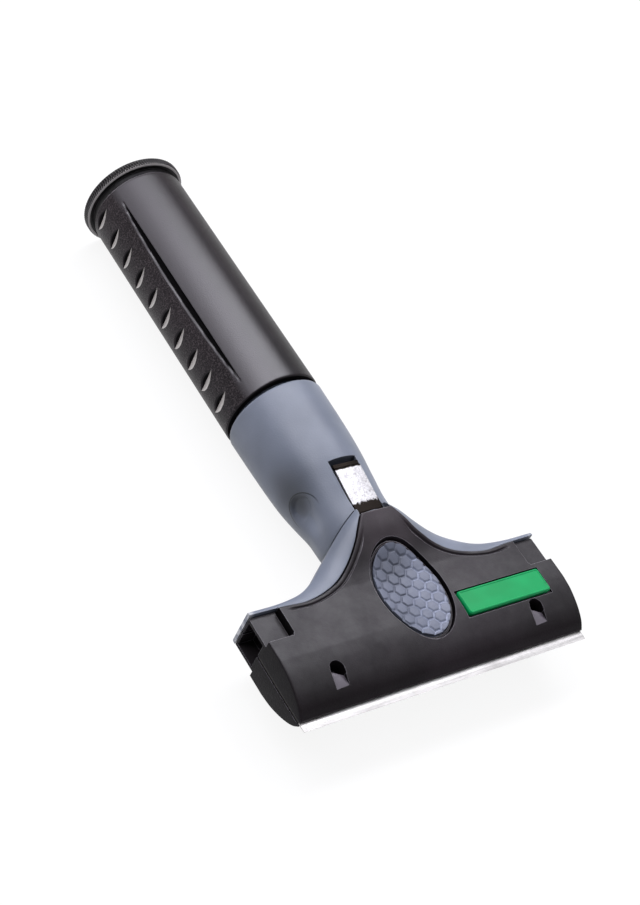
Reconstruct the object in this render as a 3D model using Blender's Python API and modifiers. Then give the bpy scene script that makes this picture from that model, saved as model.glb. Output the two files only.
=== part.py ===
"""Hand scraper: 100 mm blade, push button release, soft grip and a pole socket.

X runs along the blade, Y from the cutting edge to the rear end, Z up through the badge.
"""

import math

import bmesh
import bpy
from mathutils import Matrix, Vector

# Every size is in metres

# Clearances
FIT_GAP = 0.0003
OVERRUN = 0.004
MERGE = 0.00001

# Blade
BLADE_LENGTH = 0.1
BLADE_DEPTH = 0.024
BLADE_THICKNESS = 0.0004
BLADE_GRIND = 0.0012
BLADE_EDGE = 0.00008

# Covers of the head, seen from the side
LIP_SETBACK = 0.0026
NOSE_DEPTH_SHARE = 0.6625
HALF_THICKNESS = 0.0078
COVER_WALL = 0.0016
RISE_LENGTH = 0.0176
RISE_HEIGHT = 0.0065
NOSE_SHARES = ((0.0, 0.15), (0.085, 0.36), (0.21, 0.55), (0.4, 0.745), (0.66, 0.92), (0.92, 0.995), (1.0, 1.0))
RISE_SHARES = ((0.0, 0.0), (0.227, 0.123), (0.511, 0.475), (0.74, 0.78), (1.0, 1.0))

# Covers of the head, seen from above
HEAD_OVERHANG = 0.0002
WING_SETBACK = 0.0089
FLARE_DEPTH = 0.0177
COVER_FLARE_SHARES = (
    (1.0, 0.0),
    (0.8, -0.01),
    (0.62, -0.035),
    (0.44, 0.09),
    (0.315, 0.3),
    (0.215, 0.575),
    (0.15, 0.83),
    (0.105, 1.0),
)
COVER_EDGE_ROUND = 0.0004

# Wing rim around the covers
RIM_WIDTH = 0.0014
RIM_FLARE = 0.0188
RIM_STEP = 0.0009
RIM_BOTTOM_STEP = 0.0019
RIM_FALL_SHARE = 0.45
RIM_STATIONS = 15
RIM_SECTION_SHARES = ((0.0, 0.0), (0.4, 0.08), (0.75, 0.36), (0.94, 0.72), (1.0, 1.0))
RIM_FLARE_SHARES = (
    (1.0, 0.0),
    (0.837, 0.0),
    (0.717, 0.037),
    (0.617, 0.106),
    (0.528, 0.229),
    (0.438, 0.4),
    (0.349, 0.575),
    (0.259, 0.75),
    (0.179, 0.888),
    (0.098, 1.0),
)

# Web between the covers
WEB_HALF = 0.0025
WEB_END = 0.006

# End steps, slits and snap windows of the covers
STEP_WIDTH = 0.0083
STEP_DEPTH = 0.0022
STEP_LENGTH = 0.0092
SLIT_WIDTH = 0.0008
SLIT_SETBACK = 0.0006
SLIT_DEPTH = 0.0018
HOLLOW_DEPTH = 0.005
HOLLOW_ROOF = 0.0009
HOLLOW_FRONT_WALL = 0.001
HOLLOW_REAR_WALL = 0.0007
WINDOW_PLACE = 0.0353
WINDOW_HALF_WIDTH = 0.0024
WINDOW_REAR_SHARE = 0.66
WINDOW_FLOOR_SHARE = 0.55

# Badge
BADGE_LENGTH = 0.0303
BADGE_WIDTH = 0.0078
BADGE_THICKNESS = 0.0015
BADGE_PLACE_X = 0.0275
BADGE_SETBACK = 0.0005
BADGE_RAISE = 0.0006
BADGE_ROUND = 0.0004
BADGE_GAP = 0.0005

# Release button
BUTTON_PLACE_SHARE = 0.504
BUTTON_LENGTH_SHARE = 0.3333
WELL_HALF_WIDTH = 0.0113
BUTTON_GAP = 0.0005
BUTTON_SINK = 0.0012
BUTTON_RIM = 0.0006
PAD_SINK = 0.0003
PAD_THICKNESS = 0.0017
PAD_DISH = 0.0011
DISH_WIDTH_SHARE = 1.8
DISH_LENGTH_SHARE = 1.25
FLANGE_WIDTH = 0.0008
FLANGE_THICKNESS = 0.0009
BUTTON_TRAVEL = 0.0016
LEG_RADIUS = 0.0016
LEG_PLACE_X = 0.0055
LEG_SETBACK = 0.0042

# Clamp plate and its springs
CLAMP_THICKNESS = 0.0015
CLAMP_HALF_LENGTH = 0.016
CLAMP_FRONT_SHARE = 0.41
CLAMP_SETBACK = 0.002
TONGUE_HALF_WIDTH = 0.0085
TONGUE_OVERHANG = 0.0029
SPRING_PLACE_X = 0.011
SPRING_RADIUS = 0.0022
SPRING_WIRE = 0.00025
SPRING_TURNS = 3
SPRING_POINTS_PER_TURN = 10

# Screws of the bottom cover
SCREW_PLACE_X = 0.024
SCREW_HEAD_RADIUS = 0.0024
SCREW_HEAD_HEIGHT = 0.0014
SCREW_RADIUS = 0.0012
SCREW_TIP_COVER = 0.0031
SCREW_SINK = 0.001

# Neck
NECK_RADIUS = 0.01545
NECK_NOSE_BACK = 0.0048
NECK_LENGTH = 0.0479
NECK_SHARES = (
    (0.0, 0.62),
    (0.02, 0.7),
    (0.055, 0.765),
    (0.1, 0.81),
    (0.16, 0.83),
    (0.24, 0.845),
    (0.36, 0.9),
    (0.5, 0.955),
    (0.75, 0.985),
    (1.0, 1.0),
)
NECK_STATIONS = 22
DENT_PLACE = 0.0082
DENT_LENGTH = 0.009
DENT_HEIGHT = 0.0085
DENT_BULGE = 0.004
DENT_DEPTH = 0.0012

# Slot and catch leaf on top of the neck
SLOT_SETBACK = 0.0009
SLOT_LENGTH = 0.0182
SLOT_WIDTH = 0.0096
LEAF_LENGTH = 0.0155
LEAF_GAP = 0.0003
LEAF_THICKNESS = 0.0008
LEAF_HEIGHT = 0.0108
LEAF_ROUND = 0.0009
LEAF_SLOPE = math.radians(9.5)

# Core, pole socket, grip and end ring
CORE_RADIUS = 0.013
SOCKET_MOUTH_RADIUS = 0.011
SOCKET_END_RADIUS = 0.0096
SEAM_WIDTH = 0.0017
GRIP_LENGTH = 0.0873
GRIP_FRONT_RADIUS = 0.01535
GRIP_REAR_RADIUS = 0.0152
GRIP_ROUND = 0.0007
GROOVE_COUNT = 10
GROOVE_PITCH = 0.00856
GROOVE_FIRST = 0.0067
GROOVE_HALF_WIDTH = 0.0011
GROOVE_HALF_LENGTH = 0.0042
GROOVE_DEPTH = 0.0008
CREASE_ANGLE = math.radians(51.0)
CREASE_HALF_LENGTH = 0.038
CREASE_HALF_WIDTH = 0.0013
CREASE_DEPTH = 0.0007
RING_NECK = 0.0018
RING_NECK_RADIUS = 0.0144
RING_WIDTH = 0.0027
RING_RADIUS = 0.0167
RING_ROUND = 0.0005

# Facets
TURN_STEPS = 48
SMALL_STEPS = 16
OVAL_STEPS = 48
BALL_STEPS = 12
PROFILE_STEPS = 14
FLARE_STATIONS = 18
FLARE_FINENESS = 6
NOSE_ROOM_STEPS = 8
ARCH_STEPS = 8
LEAF_ROUND_STEPS = 6
SKIN_STEPS = 24
SMOOTH_ANGLE = math.radians(35.0)
BEVEL_ANGLE = math.radians(40.0)
FLAT_ANGLE = math.radians(0.2)

# Places worked out from the sizes
HEAD_HALF = BLADE_LENGTH / 2 + HEAD_OVERHANG
BLADE_HALF = BLADE_THICKNESS / 2
LIP_Y = LIP_SETBACK
NOSE_LENGTH = BLADE_DEPTH * NOSE_DEPTH_SHARE
CROWN_Y = LIP_Y + NOSE_LENGTH
WING_Y = BLADE_DEPTH + WING_SETBACK
COVER_REAR_Y = WING_Y + FLARE_DEPTH
COVER_LENGTH = COVER_REAR_Y - LIP_Y
RISE_Y = COVER_REAR_Y - RISE_LENGTH
NECK_NOSE_Y = COVER_REAR_Y - NECK_NOSE_BACK
SEAM_Y = COVER_REAR_Y + NECK_LENGTH
GRIP_FRONT_Y = SEAM_Y + SEAM_WIDTH
GRIP_REAR_Y = GRIP_FRONT_Y + GRIP_LENGTH
RING_FRONT_Y = GRIP_REAR_Y + FIT_GAP
REAR_Y = RING_FRONT_Y + RING_NECK + RING_WIDTH
SLOT_FRONT_Y = COVER_REAR_Y + SLOT_SETBACK
SLOT_REAR_Y = SLOT_FRONT_Y + SLOT_LENGTH
SPLIT_Z = BLADE_HALF + FIT_GAP
WEB_FRONT_Y = BLADE_DEPTH + FIT_GAP
WEB_SEAT_Z = WEB_HALF + FIT_GAP
STEP_FRONT_Y = WING_Y - STEP_LENGTH
STEP_X = HEAD_HALF - STEP_WIDTH
WINDOW_REAR_Y = LIP_Y + NOSE_LENGTH * WINDOW_REAR_SHARE
BADGE_PLACE_Y = CROWN_Y - BADGE_SETBACK
SCREW_PLACE_Y = (WEB_FRONT_Y + WING_Y) / 2
SCREW_LOW_Z = SCREW_SINK - HALF_THICKNESS
SCREW_TIP_Z = HALF_THICKNESS - SCREW_TIP_COVER
BUTTON_PLACE = LIP_Y + COVER_LENGTH * BUTTON_PLACE_SHARE
WELL_HALF_LENGTH = COVER_LENGTH * BUTTON_LENGTH_SHARE
BUTTON_HALF_WIDTH = WELL_HALF_WIDTH - BUTTON_GAP
BUTTON_HALF_LENGTH = WELL_HALF_LENGTH - BUTTON_GAP
PAD_HALF_WIDTH = BUTTON_HALF_WIDTH - BUTTON_RIM - FIT_GAP
PAD_HALF_LENGTH = BUTTON_HALF_LENGTH - BUTTON_RIM - FIT_GAP
FLANGE_HALF_WIDTH = WELL_HALF_WIDTH + FLANGE_WIDTH
FLANGE_HALF_LENGTH = WELL_HALF_LENGTH + FLANGE_WIDTH
SEAT_HALF_WIDTH = FLANGE_HALF_WIDTH + BUTTON_GAP
SEAT_HALF_LENGTH = FLANGE_HALF_LENGTH + BUTTON_GAP
BUTTON_BOTTOM_Z = SPLIT_Z + BUTTON_TRAVEL + FIT_GAP
LEG_PLACE_Y = BUTTON_PLACE + LEG_SETBACK
CLAMP_FRONT = BLADE_DEPTH * CLAMP_FRONT_SHARE
CLAMP_REAR = BLADE_DEPTH - CLAMP_SETBACK
TONGUE_REAR = LEG_PLACE_Y + LEG_RADIUS + TONGUE_OVERHANG
SPRING_PLACE_Y = (CLAMP_FRONT + CLAMP_REAR) / 2
CLAMP_TOP_Z = -SPLIT_Z
CLAMP_BOTTOM_Z = CLAMP_TOP_Z - CLAMP_THICKNESS
CLAMP_FLOOR_Z = CLAMP_BOTTOM_Z - BUTTON_TRAVEL - FIT_GAP
SPRING_TOP_Z = CLAMP_BOTTOM_Z - FIT_GAP
SPRING_FLOOR_Z = COVER_WALL - HALF_THICKNESS
SPRING_BOTTOM_Z = SPRING_FLOOR_Z + FIT_GAP
SPRING_LENGTH = SPRING_TOP_Z - SPRING_BOTTOM_Z


def clear_scene():
    for old in list(bpy.data.objects):
        bpy.data.objects.remove(old, do_unlink=True)


def new_collection(name):
    made = bpy.data.collections.new(name)
    bpy.context.scene.collection.children.link(made)
    return made


def new_material(name, colour, roughness, metallic):
    made = bpy.data.materials.new(name)
    made.use_nodes = True
    shader = made.node_tree.nodes["Principled BSDF"]
    shader.inputs["Base Color"].default_value = (*colour, 1.0)
    shader.inputs["Roughness"].default_value = roughness
    shader.inputs["Metallic"].default_value = metallic
    return made


clear_scene()
PARTS = new_collection("hand_scraper")
CUTTERS = new_collection("cutters")

GREY_PLASTIC = new_material("blue grey plastic", (0.13, 0.14, 0.19), 0.4, 0.0)
BLACK_PLASTIC = new_material("black moulded plastic", (0.03, 0.028, 0.032), 0.45, 0.0)
SOFT_BLACK = new_material("black soft grip", (0.035, 0.033, 0.034), 0.6, 0.0)
SOFT_GREY = new_material("blue grey soft pad", (0.17, 0.18, 0.23), 0.55, 0.0)
STEEL = new_material("bright steel", (0.75, 0.75, 0.76), 0.25, 1.0)
SPRING_STEEL = new_material("spring steel", (0.5, 0.5, 0.52), 0.35, 1.0)
GREEN = new_material("green badge plastic", (0.0, 0.36, 0.13), 0.4, 0.0)

ROOT = bpy.data.objects.new("scraper_frame", None)
PARTS.objects.link(ROOT)
ROOT.location = (0, -REAR_Y / 2, RING_RADIUS)


def place(obj, material):
    """Puts a finished piece in the part's collection, or a cutter in its own when it has no material."""
    obj.parent = ROOT
    if material:
        obj.data.materials.clear()
        obj.data.materials.append(material)
        PARTS.objects.link(obj)
    else:
        obj.hide_render = True
        obj.display_type = "WIRE"
        CUTTERS.objects.link(obj)
    return obj


def from_bmesh(name, shape, material=None):
    mesh = bpy.data.meshes.new(name)
    bmesh.ops.recalc_face_normals(shape, faces=shape.faces)
    shape.to_mesh(mesh)
    shape.free()
    return place(bpy.data.objects.new(name, mesh), material)


def set_origin(obj, point):
    """Moves the object's origin to a point of the tool without moving its shape."""
    turn = Matrix.Rotation(obj.rotation_euler.x, 4, "X")
    shift = turn.inverted() @ (Vector(point) - obj.location)
    obj.data.transform(Matrix.Translation(-shift))
    obj.location = point


def smooth(obj):
    obj.data.shade_smooth()
    obj.data.set_sharp_from_angle(angle=SMOOTH_ANGLE)


def boolean(obj, other, operation):
    modifier = obj.modifiers.new(operation.lower() + " " + other.name, "BOOLEAN")
    modifier.operation = operation
    modifier.object = other


def cut(obj, *cutters):
    for cutter in cutters:
        boolean(obj, cutter, "DIFFERENCE")


def join(obj, *others):
    for other in others:
        boolean(obj, other, "UNION")


def bevel(obj, width, segments=2):
    modifier = obj.modifiers.new("rounded edges", "BEVEL")
    modifier.width = width
    modifier.segments = segments
    modifier.limit_method = "ANGLE"
    modifier.angle_limit = BEVEL_ANGLE


def box(name, low, high, material=None):
    shape = bmesh.new()
    middle = (Vector(low) + Vector(high)) / 2
    size = Vector(high) - Vector(low)
    matrix = Matrix.Translation(middle) @ Matrix.Diagonal((*size, 1.0))
    bmesh.ops.create_cube(shape, size=1.0, matrix=matrix)
    return from_bmesh(name, shape, material)


def oval(name, half_width, half_length, middle, low, high, steps=OVAL_STEPS, material=None):
    """An upright prism of oval section around the point middle of the plan."""
    shape = bmesh.new()
    place_at = Matrix.Translation((middle[0], middle[1], (low + high) / 2))
    matrix = place_at @ Matrix.Diagonal((half_width, half_length, high - low, 1.0))
    unit = {"radius1": 1.0, "radius2": 1.0, "depth": 1.0}
    bmesh.ops.create_cone(shape, cap_ends=True, segments=steps, matrix=matrix, **unit)
    return from_bmesh(name, shape, material)


def ball(name, radii, matrix, steps=BALL_STEPS):
    shape = bmesh.new()
    scaled = matrix @ Matrix.Diagonal((*radii, 1.0))
    bmesh.ops.create_uvsphere(shape, u_segments=steps, v_segments=steps, radius=1.0, matrix=scaled)
    return from_bmesh(name, shape)


def prism(name, points, low, high, along="Z", material=None):
    """A closed outline, drawn as a filled 2D curve, given its depth along Z or along X."""
    drawn = bpy.data.curves.new(name, "CURVE")
    drawn.dimensions = "2D"
    drawn.fill_mode = "BOTH"
    drawn.extrude = (high - low) / 2
    line = drawn.splines.new("POLY")
    line.points.add(len(points) - 1)
    for point, (u, v) in zip(line.points, points):
        point.co = (u, v, 0, 1.0)
    line.use_cyclic_u = True
    holder = bpy.data.objects.new(name + " outline", drawn)
    bpy.context.scene.collection.objects.link(holder)
    graph = bpy.context.evaluated_depsgraph_get()
    mesh = bpy.data.meshes.new_from_object(holder.evaluated_get(graph))
    bpy.data.objects.remove(holder, do_unlink=True)
    shape = bmesh.new()
    shape.from_mesh(mesh)
    bpy.data.meshes.remove(mesh)
    bmesh.ops.remove_doubles(shape, verts=shape.verts, dist=MERGE)
    bmesh.ops.dissolve_limit(shape, angle_limit=FLAT_ANGLE, verts=shape.verts, edges=shape.edges)
    shift = Matrix.Translation((0, 0, (low + high) / 2))
    turn = Matrix(((0, 0, 1), (1, 0, 0), (0, 1, 0))).to_4x4() if along == "X" else Matrix.Identity(4)
    bmesh.ops.transform(shape, matrix=turn @ shift, verts=shape.verts)
    return from_bmesh(name, shape, material)


def turned(name, profile, material=None, steps=TURN_STEPS, along="Y"):
    """Turns a profile of (radius, distance) points, given from the far end down its outer side."""
    mesh = bpy.data.meshes.new(name)
    edges = [(i, i + 1) for i in range(len(profile) - 1)]
    if min(radius for radius, distance in profile) > 0:
        edges.append((len(profile) - 1, 0))
    mesh.from_pydata([(radius, 0, distance) for radius, distance in profile], edges, [])
    obj = place(bpy.data.objects.new(name, mesh), material)
    screw = obj.modifiers.new("turned", "SCREW")
    screw.steps = steps
    screw.render_steps = steps
    screw.use_merge_vertices = True
    screw.merge_threshold = MERGE
    screw.use_smooth_shade = True
    if along == "Y":
        obj.rotation_euler.x = -math.pi / 2
    return obj


def loft(name, rings, material=None):
    """Skins a row of rings that have the same number of points, with a cap at each end."""
    shape = bmesh.new()
    rows = [[shape.verts.new(point) for point in ring] for ring in rings]
    for row, following in zip(rows, rows[1:]):
        for i in range(len(row)):
            j = (i + 1) % len(row)
            shape.faces.new((row[i], row[j], following[j], following[i]))
    shape.faces.new(rows[0])
    shape.faces.new(rows[-1])
    return from_bmesh(name, shape, material)


def along_table(table, share):
    """Reads a smooth value between the points of a table of shares."""
    last = len(table) - 1
    at = min(max(share, table[0][0]), table[last][0])
    i = next(k for k in range(last) if at <= table[k + 1][0])
    (x0, y0), (x1, y1) = table[i], table[i + 1]
    before = table[max(i - 1, 0)]
    after = table[min(i + 2, last)]
    span = x1 - x0
    start = (y1 - before[1]) / (x1 - before[0]) * span
    end = (after[1] - y0) / (after[0] - x0) * span
    t = (at - x0) / span
    ease = t * t * (3 - 2 * t)
    return y0 + (y1 - y0) * ease + start * t * (1 - t) ** 2 - end * t * t * (1 - t)


def cover_height(y):
    """Height of the covers' outer surface over the middle of the blade."""
    if y < CROWN_Y:
        return HALF_THICKNESS * along_table(NOSE_SHARES, (y - LIP_Y) / NOSE_LENGTH)
    return HALF_THICKNESS + RISE_HEIGHT * along_table(RISE_SHARES, (y - RISE_Y) / RISE_LENGTH)


def cover_slope(y):
    step = FIT_GAP
    return math.atan2(cover_height(y + step) - cover_height(y - step), step + step)


def neck_radius(y):
    length = SEAM_Y - NECK_NOSE_Y
    return NECK_RADIUS * along_table(NECK_SHARES, (y - NECK_NOSE_Y) / length)


def evenly(points, count):
    """Places count points at even steps along a line of points."""
    lengths = [0]
    for a, b in zip(points, points[1:]):
        lengths.append(lengths[-1] + math.dist(a, b))
    made = []
    for k in range(count):
        goal = lengths[-1] * k / (count - 1)
        i = next(n for n in range(len(points) - 1) if goal <= lengths[n + 1] or n == len(points) - 2)
        t = (goal - lengths[i]) / (lengths[i + 1] - lengths[i])
        made.append(tuple(a + (b - a) * t for a, b in zip(points[i], points[i + 1])))
    return made


def flare(shares, front, depth, count):
    """The right half of a wing outline, from the wing's end to the neck, as count points."""
    last = len(shares) - 1
    xs = [(k / last, share[0]) for k, share in enumerate(shares)]
    ys = [(k / last, share[1]) for k, share in enumerate(shares)]
    steps = last * FLARE_FINENESS
    fine = [k / steps for k in range(steps + 1)]
    line = [(HEAD_HALF * along_table(xs, t), front + depth * along_table(ys, t)) for t in fine]
    return evenly(line, count)


def moved_out(line, distance):
    """Moves each point of a half outline outward, to its rear side, by a distance."""
    made = []
    for i, point in enumerate(line):
        before = Vector(line[max(i - 1, 0)])
        after = Vector(line[min(i + 1, len(line) - 1)])
        run = (after - before).normalized()
        made.append((point[0] + distance * run.y, point[1] - distance * run.x))
    return made


def both_sides(half):
    """A whole outline from its right half, which starts at the wing's end."""
    return half + [(-x, y) for x, y in reversed(half)]


def cover_block(name, material, side):
    """The outer form of a cover: its side profile along the head, kept inside its plan outline."""
    stations = [LIP_Y + NOSE_LENGTH * k / PROFILE_STEPS for k in range(PROFILE_STEPS + 1)]
    stations += [RISE_Y + RISE_LENGTH * k / PROFILE_STEPS for k in range(PROFILE_STEPS + 1)]
    profile = [(LIP_Y, side * SPLIT_Z)]
    profile += [(y, side * cover_height(y)) for y in stations]
    profile.append((COVER_REAR_Y, side * SPLIT_Z))
    block = prism(name, profile, -HEAD_HALF, HEAD_HALF, "X", material)
    half = flare(COVER_FLARE_SHARES, WING_Y, FLARE_DEPTH, FLARE_STATIONS)
    far = HEAD_HALF + OVERRUN
    outline = both_sides([(far, -OVERRUN), (far, half[0][1])] + half[1:])
    reach = HALF_THICKNESS + RISE_HEIGHT + OVERRUN
    plan = prism(name + " plan", outline, -reach, reach)
    boolean(block, plan, "INTERSECT")
    bevel(block, COVER_EDGE_ROUND)
    return block


def web_seat_cutters(name, side):
    """The room that a cover leaves for the web and for the nose of the neck."""
    web_end = HEAD_HALF - WEB_END + FIT_GAP
    low, high = sorted((-side * OVERRUN, side * WEB_SEAT_Z))
    flat = box(name + " web room", (-web_end, BLADE_DEPTH, low), (web_end, COVER_REAR_Y + OVERRUN, high))
    rear = COVER_REAR_Y + OVERRUN
    stations = [rear - (rear - NECK_NOSE_Y) * k / NOSE_ROOM_STEPS for k in range(NOSE_ROOM_STEPS + 1)]
    profile = [(0, stations[0])]
    profile += [(neck_radius(y) + FIT_GAP, y) for y in stations]
    profile.append((neck_radius(NECK_NOSE_Y) + FIT_GAP, NECK_NOSE_Y - FIT_GAP))
    profile.append((0, NECK_NOSE_Y - FIT_GAP))
    return flat, turned(name + " neck room", profile)


def end_step_cutters(name, side):
    """The lowered end panels behind the crown, each with a slit along its inner side."""
    made = []
    floor = side * (HALF_THICKNESS - STEP_DEPTH)
    slit_floor = side * (HALF_THICKNESS - STEP_DEPTH - SLIT_DEPTH)
    sky = side * (HALF_THICKNESS + RISE_HEIGHT)
    for end in (-1, 1):
        xs = sorted((end * STEP_X, end * (HEAD_HALF + OVERRUN)))
        zs = sorted((floor, sky))
        panel = box(name + " end step", (xs[0], STEP_FRONT_Y, zs[0]), (xs[1], WING_Y + OVERRUN, zs[1]))
        xs = sorted((end * (STEP_X - SLIT_WIDTH), end * (STEP_X + FIT_GAP)))
        zs = sorted((slit_floor, sky))
        slit_front = STEP_FRONT_Y + SLIT_SETBACK
        slit = box(name + " slit", (xs[0], slit_front, zs[0]), (xs[1], WING_Y + OVERRUN, zs[1]))
        made += [panel, slit]
    return made


def end_hollow_cutters(name, side):
    """The hollow in each end of a cover, under its lowered panel."""
    zs = sorted((-side * OVERRUN, side * (HALF_THICKNESS - STEP_DEPTH - HOLLOW_ROOF)))
    front = STEP_FRONT_Y + HOLLOW_FRONT_WALL
    rear = WING_Y - HOLLOW_REAR_WALL
    made = []
    for end in (-1, 1):
        xs = sorted((end * (HEAD_HALF - HOLLOW_DEPTH), end * (HEAD_HALF + OVERRUN)))
        made.append(box(name + " end hollow", (xs[0], front, zs[0]), (xs[1], rear, zs[1])))
    return made


def screw_holes(name, low, high):
    radius = SCREW_RADIUS + FIT_GAP
    places = [(end * SCREW_PLACE_X, SCREW_PLACE_Y) for end in (-1, 1)]
    return [oval(name, radius, radius, at, low, high, SMALL_STEPS) for at in places]


def window_cutters(name):
    """Arched windows near the front, cut level so that their floor runs out at the nose."""
    made = []
    floor = HALF_THICKNESS * WINDOW_FLOOR_SHARE
    arch_y = WINDOW_REAR_Y - WINDOW_HALF_WIDTH
    for end in (-1, 1):
        middle = end * WINDOW_PLACE
        turns = [math.pi * k / ARCH_STEPS for k in range(ARCH_STEPS + 1)]
        arch = [(WINDOW_HALF_WIDTH * math.cos(a), WINDOW_HALF_WIDTH * math.sin(a)) for a in turns]
        points = [(middle + x, arch_y + y) for x, y in arch]
        points += [(middle - WINDOW_HALF_WIDTH, LIP_Y), (middle + WINDOW_HALF_WIDTH, LIP_Y)]
        made.append(prism(name, points, floor, HALF_THICKNESS + OVERRUN))
    return made


def make_top_cover():
    cover = cover_block("cover_top", BLACK_PLASTIC, 1)
    cut(cover, *web_seat_cutters("cover_top", 1))
    middle = (0, BUTTON_PLACE)
    sky = HALF_THICKNESS + RISE_HEIGHT + OVERRUN
    cut(cover, oval("button well", WELL_HALF_WIDTH, WELL_HALF_LENGTH, middle, -OVERRUN, sky))
    seat_top = BUTTON_BOTTOM_Z + FLANGE_THICKNESS + FIT_GAP
    cut(cover, oval("flange seat", SEAT_HALF_WIDTH, SEAT_HALF_LENGTH, middle, -OVERRUN, seat_top))
    cut(cover, *end_step_cutters("cover_top", 1))
    cut(cover, *end_hollow_cutters("cover_top", 1))
    cut(cover, *window_cutters("snap window"))
    cut(cover, badge_block("badge pocket", BADGE_GAP, BADGE_THICKNESS))
    cut(cover, *screw_holes("top screw hole", -OVERRUN, SCREW_TIP_Z + FIT_GAP))
    smooth(cover)
    return cover


def make_bottom_cover():
    cover = cover_block("cover_bottom", BLACK_PLASTIC, -1)
    cut(cover, *web_seat_cutters("cover_bottom", -1))
    cut(cover, prism("clamp room", clamp_outline(FIT_GAP), CLAMP_FLOOR_Z, OVERRUN))
    well = SPRING_RADIUS + SPRING_WIRE + FIT_GAP
    for end in (-1, 1):
        at = (end * SPRING_PLACE_X, SPRING_PLACE_Y)
        cut(cover, oval("spring room", well, well, at, SPRING_FLOOR_Z, 0, SMALL_STEPS))
        at = (end * SCREW_PLACE_X, SCREW_PLACE_Y)
        radius = SCREW_HEAD_RADIUS + FIT_GAP
        seat = SCREW_LOW_Z + SCREW_HEAD_HEIGHT + FIT_GAP
        cut(cover, oval("screw head room", radius, radius, at, -HALF_THICKNESS - OVERRUN, seat, SMALL_STEPS))
    cut(cover, *end_step_cutters("cover_bottom", -1))
    cut(cover, *end_hollow_cutters("cover_bottom", -1))
    cut(cover, *screw_holes("bottom screw hole", -HALF_THICKNESS - OVERRUN, OVERRUN))
    smooth(cover)
    return cover


def badge_block(name, gap, depth, material=None):
    """The badge's block, or its pocket with a gap around it, laid on the slope of the cover."""
    half_length = BADGE_LENGTH / 2 + gap
    half_width = BADGE_WIDTH / 2 + gap
    top = BADGE_RAISE if material else OVERRUN
    floor = BADGE_RAISE - depth if material else BADGE_RAISE - depth - FIT_GAP
    made = box(name, (-half_length, -half_width, floor), (half_length, half_width, top), material)
    made.location = (BADGE_PLACE_X, BADGE_PLACE_Y, cover_height(BADGE_PLACE_Y))
    made.rotation_euler.x = cover_slope(BADGE_PLACE_Y)
    return made


def make_badge():
    badge = badge_block("badge_plate", 0, BADGE_THICKNESS, GREEN)
    bevel(badge, BADGE_ROUND)
    smooth(badge)


def rim_loft(side):
    """One flared wing of the rim, from the wing's end to its tip beside the slot."""
    inner = moved_out(flare(COVER_FLARE_SHARES, WING_Y, FLARE_DEPTH, RIM_STATIONS), FIT_GAP)
    outer = flare(RIM_FLARE_SHARES, WING_Y + RIM_WIDTH, RIM_FLARE, RIM_STATIONS)
    rings = []
    for (x_in, y_in), (x_out, y_out) in zip(inner, outer):
        width = math.dist((x_in, y_in), (x_out, y_out))
        fall = RIM_FALL_SHARE * width
        top = cover_height(y_in) - RIM_STEP
        bottom = RIM_BOTTOM_STEP - cover_height(y_in)
        run_x = x_out - x_in
        run_y = y_out - y_in
        across = [(x_in + run_x * u, y_in + run_y * u, fall * v) for u, v in RIM_SECTION_SHARES]
        ring = [(x, y, top - drop) for x, y, drop in across]
        ring += [(x, y, bottom + drop) for x, y, drop in reversed(across)]
        rings.append([(side * x, y, z) for x, y, z in ring])
    return loft("rim", rings)


def web_block():
    """The flat web between the covers, whose edge lies inside the rim."""
    inner = flare(COVER_FLARE_SHARES, WING_Y, FLARE_DEPTH, RIM_STATIONS)
    outer = flare(RIM_FLARE_SHARES, WING_Y + RIM_WIDTH, RIM_FLARE, RIM_STATIONS)
    end = HEAD_HALF - WEB_END
    half = [((a[0] + b[0]) / 2, (a[1] + b[1]) / 2) for a, b in zip(inner, outer)]
    half = [(end, half[0][1])] + [point for point in half if point[0] < end]
    outline = [(end, WEB_FRONT_Y)] + both_sides(half) + [(-end, WEB_FRONT_Y)]
    return prism("web", outline, -WEB_HALF, WEB_HALF)


def make_handle_body():
    ring_end = REAR_Y - FIT_GAP
    stations = [SEAM_Y - (SEAM_Y - NECK_NOSE_Y) * k / NECK_STATIONS for k in range(NECK_STATIONS + 1)]
    profile = [(0, ring_end), (CORE_RADIUS, ring_end), (CORE_RADIUS, SEAM_Y)]
    profile += [(neck_radius(y), y) for y in stations]
    profile.append((0, NECK_NOSE_Y))
    body = turned("handle_body", profile, GREY_PLASTIC)
    join(body, rim_loft(-1), rim_loft(1), web_block())
    socket_end = SLOT_FRONT_Y
    far = REAR_Y + OVERRUN
    socket = [(0, far), (SOCKET_MOUTH_RADIUS, far), (SOCKET_END_RADIUS, socket_end), (0, socket_end)]
    cut(body, turned("socket", socket))
    half = SLOT_WIDTH / 2
    cut(body, box("leaf slot", (-half, SLOT_FRONT_Y, 0), (half, SLOT_REAR_Y, NECK_RADIUS + OVERRUN)))
    middle = (0, BUTTON_PLACE)
    reach = BUTTON_BOTTOM_Z + FLANGE_THICKNESS
    cut(body, oval("web well", SEAT_HALF_WIDTH, SEAT_HALF_LENGTH, middle, -reach, reach))
    cut(body, *screw_holes("web screw hole", -reach, reach))
    for side in (-1, 1):
        at_y = COVER_REAR_Y + DENT_PLACE
        at_x = side * (neck_radius(at_y) + DENT_BULGE - DENT_DEPTH)
        matrix = Matrix.Translation((at_x, at_y, 0))
        cut(body, ball("finger dent", (DENT_BULGE, DENT_LENGTH, DENT_HEIGHT), matrix, BALL_STEPS + BALL_STEPS))
    smooth(body)


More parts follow.
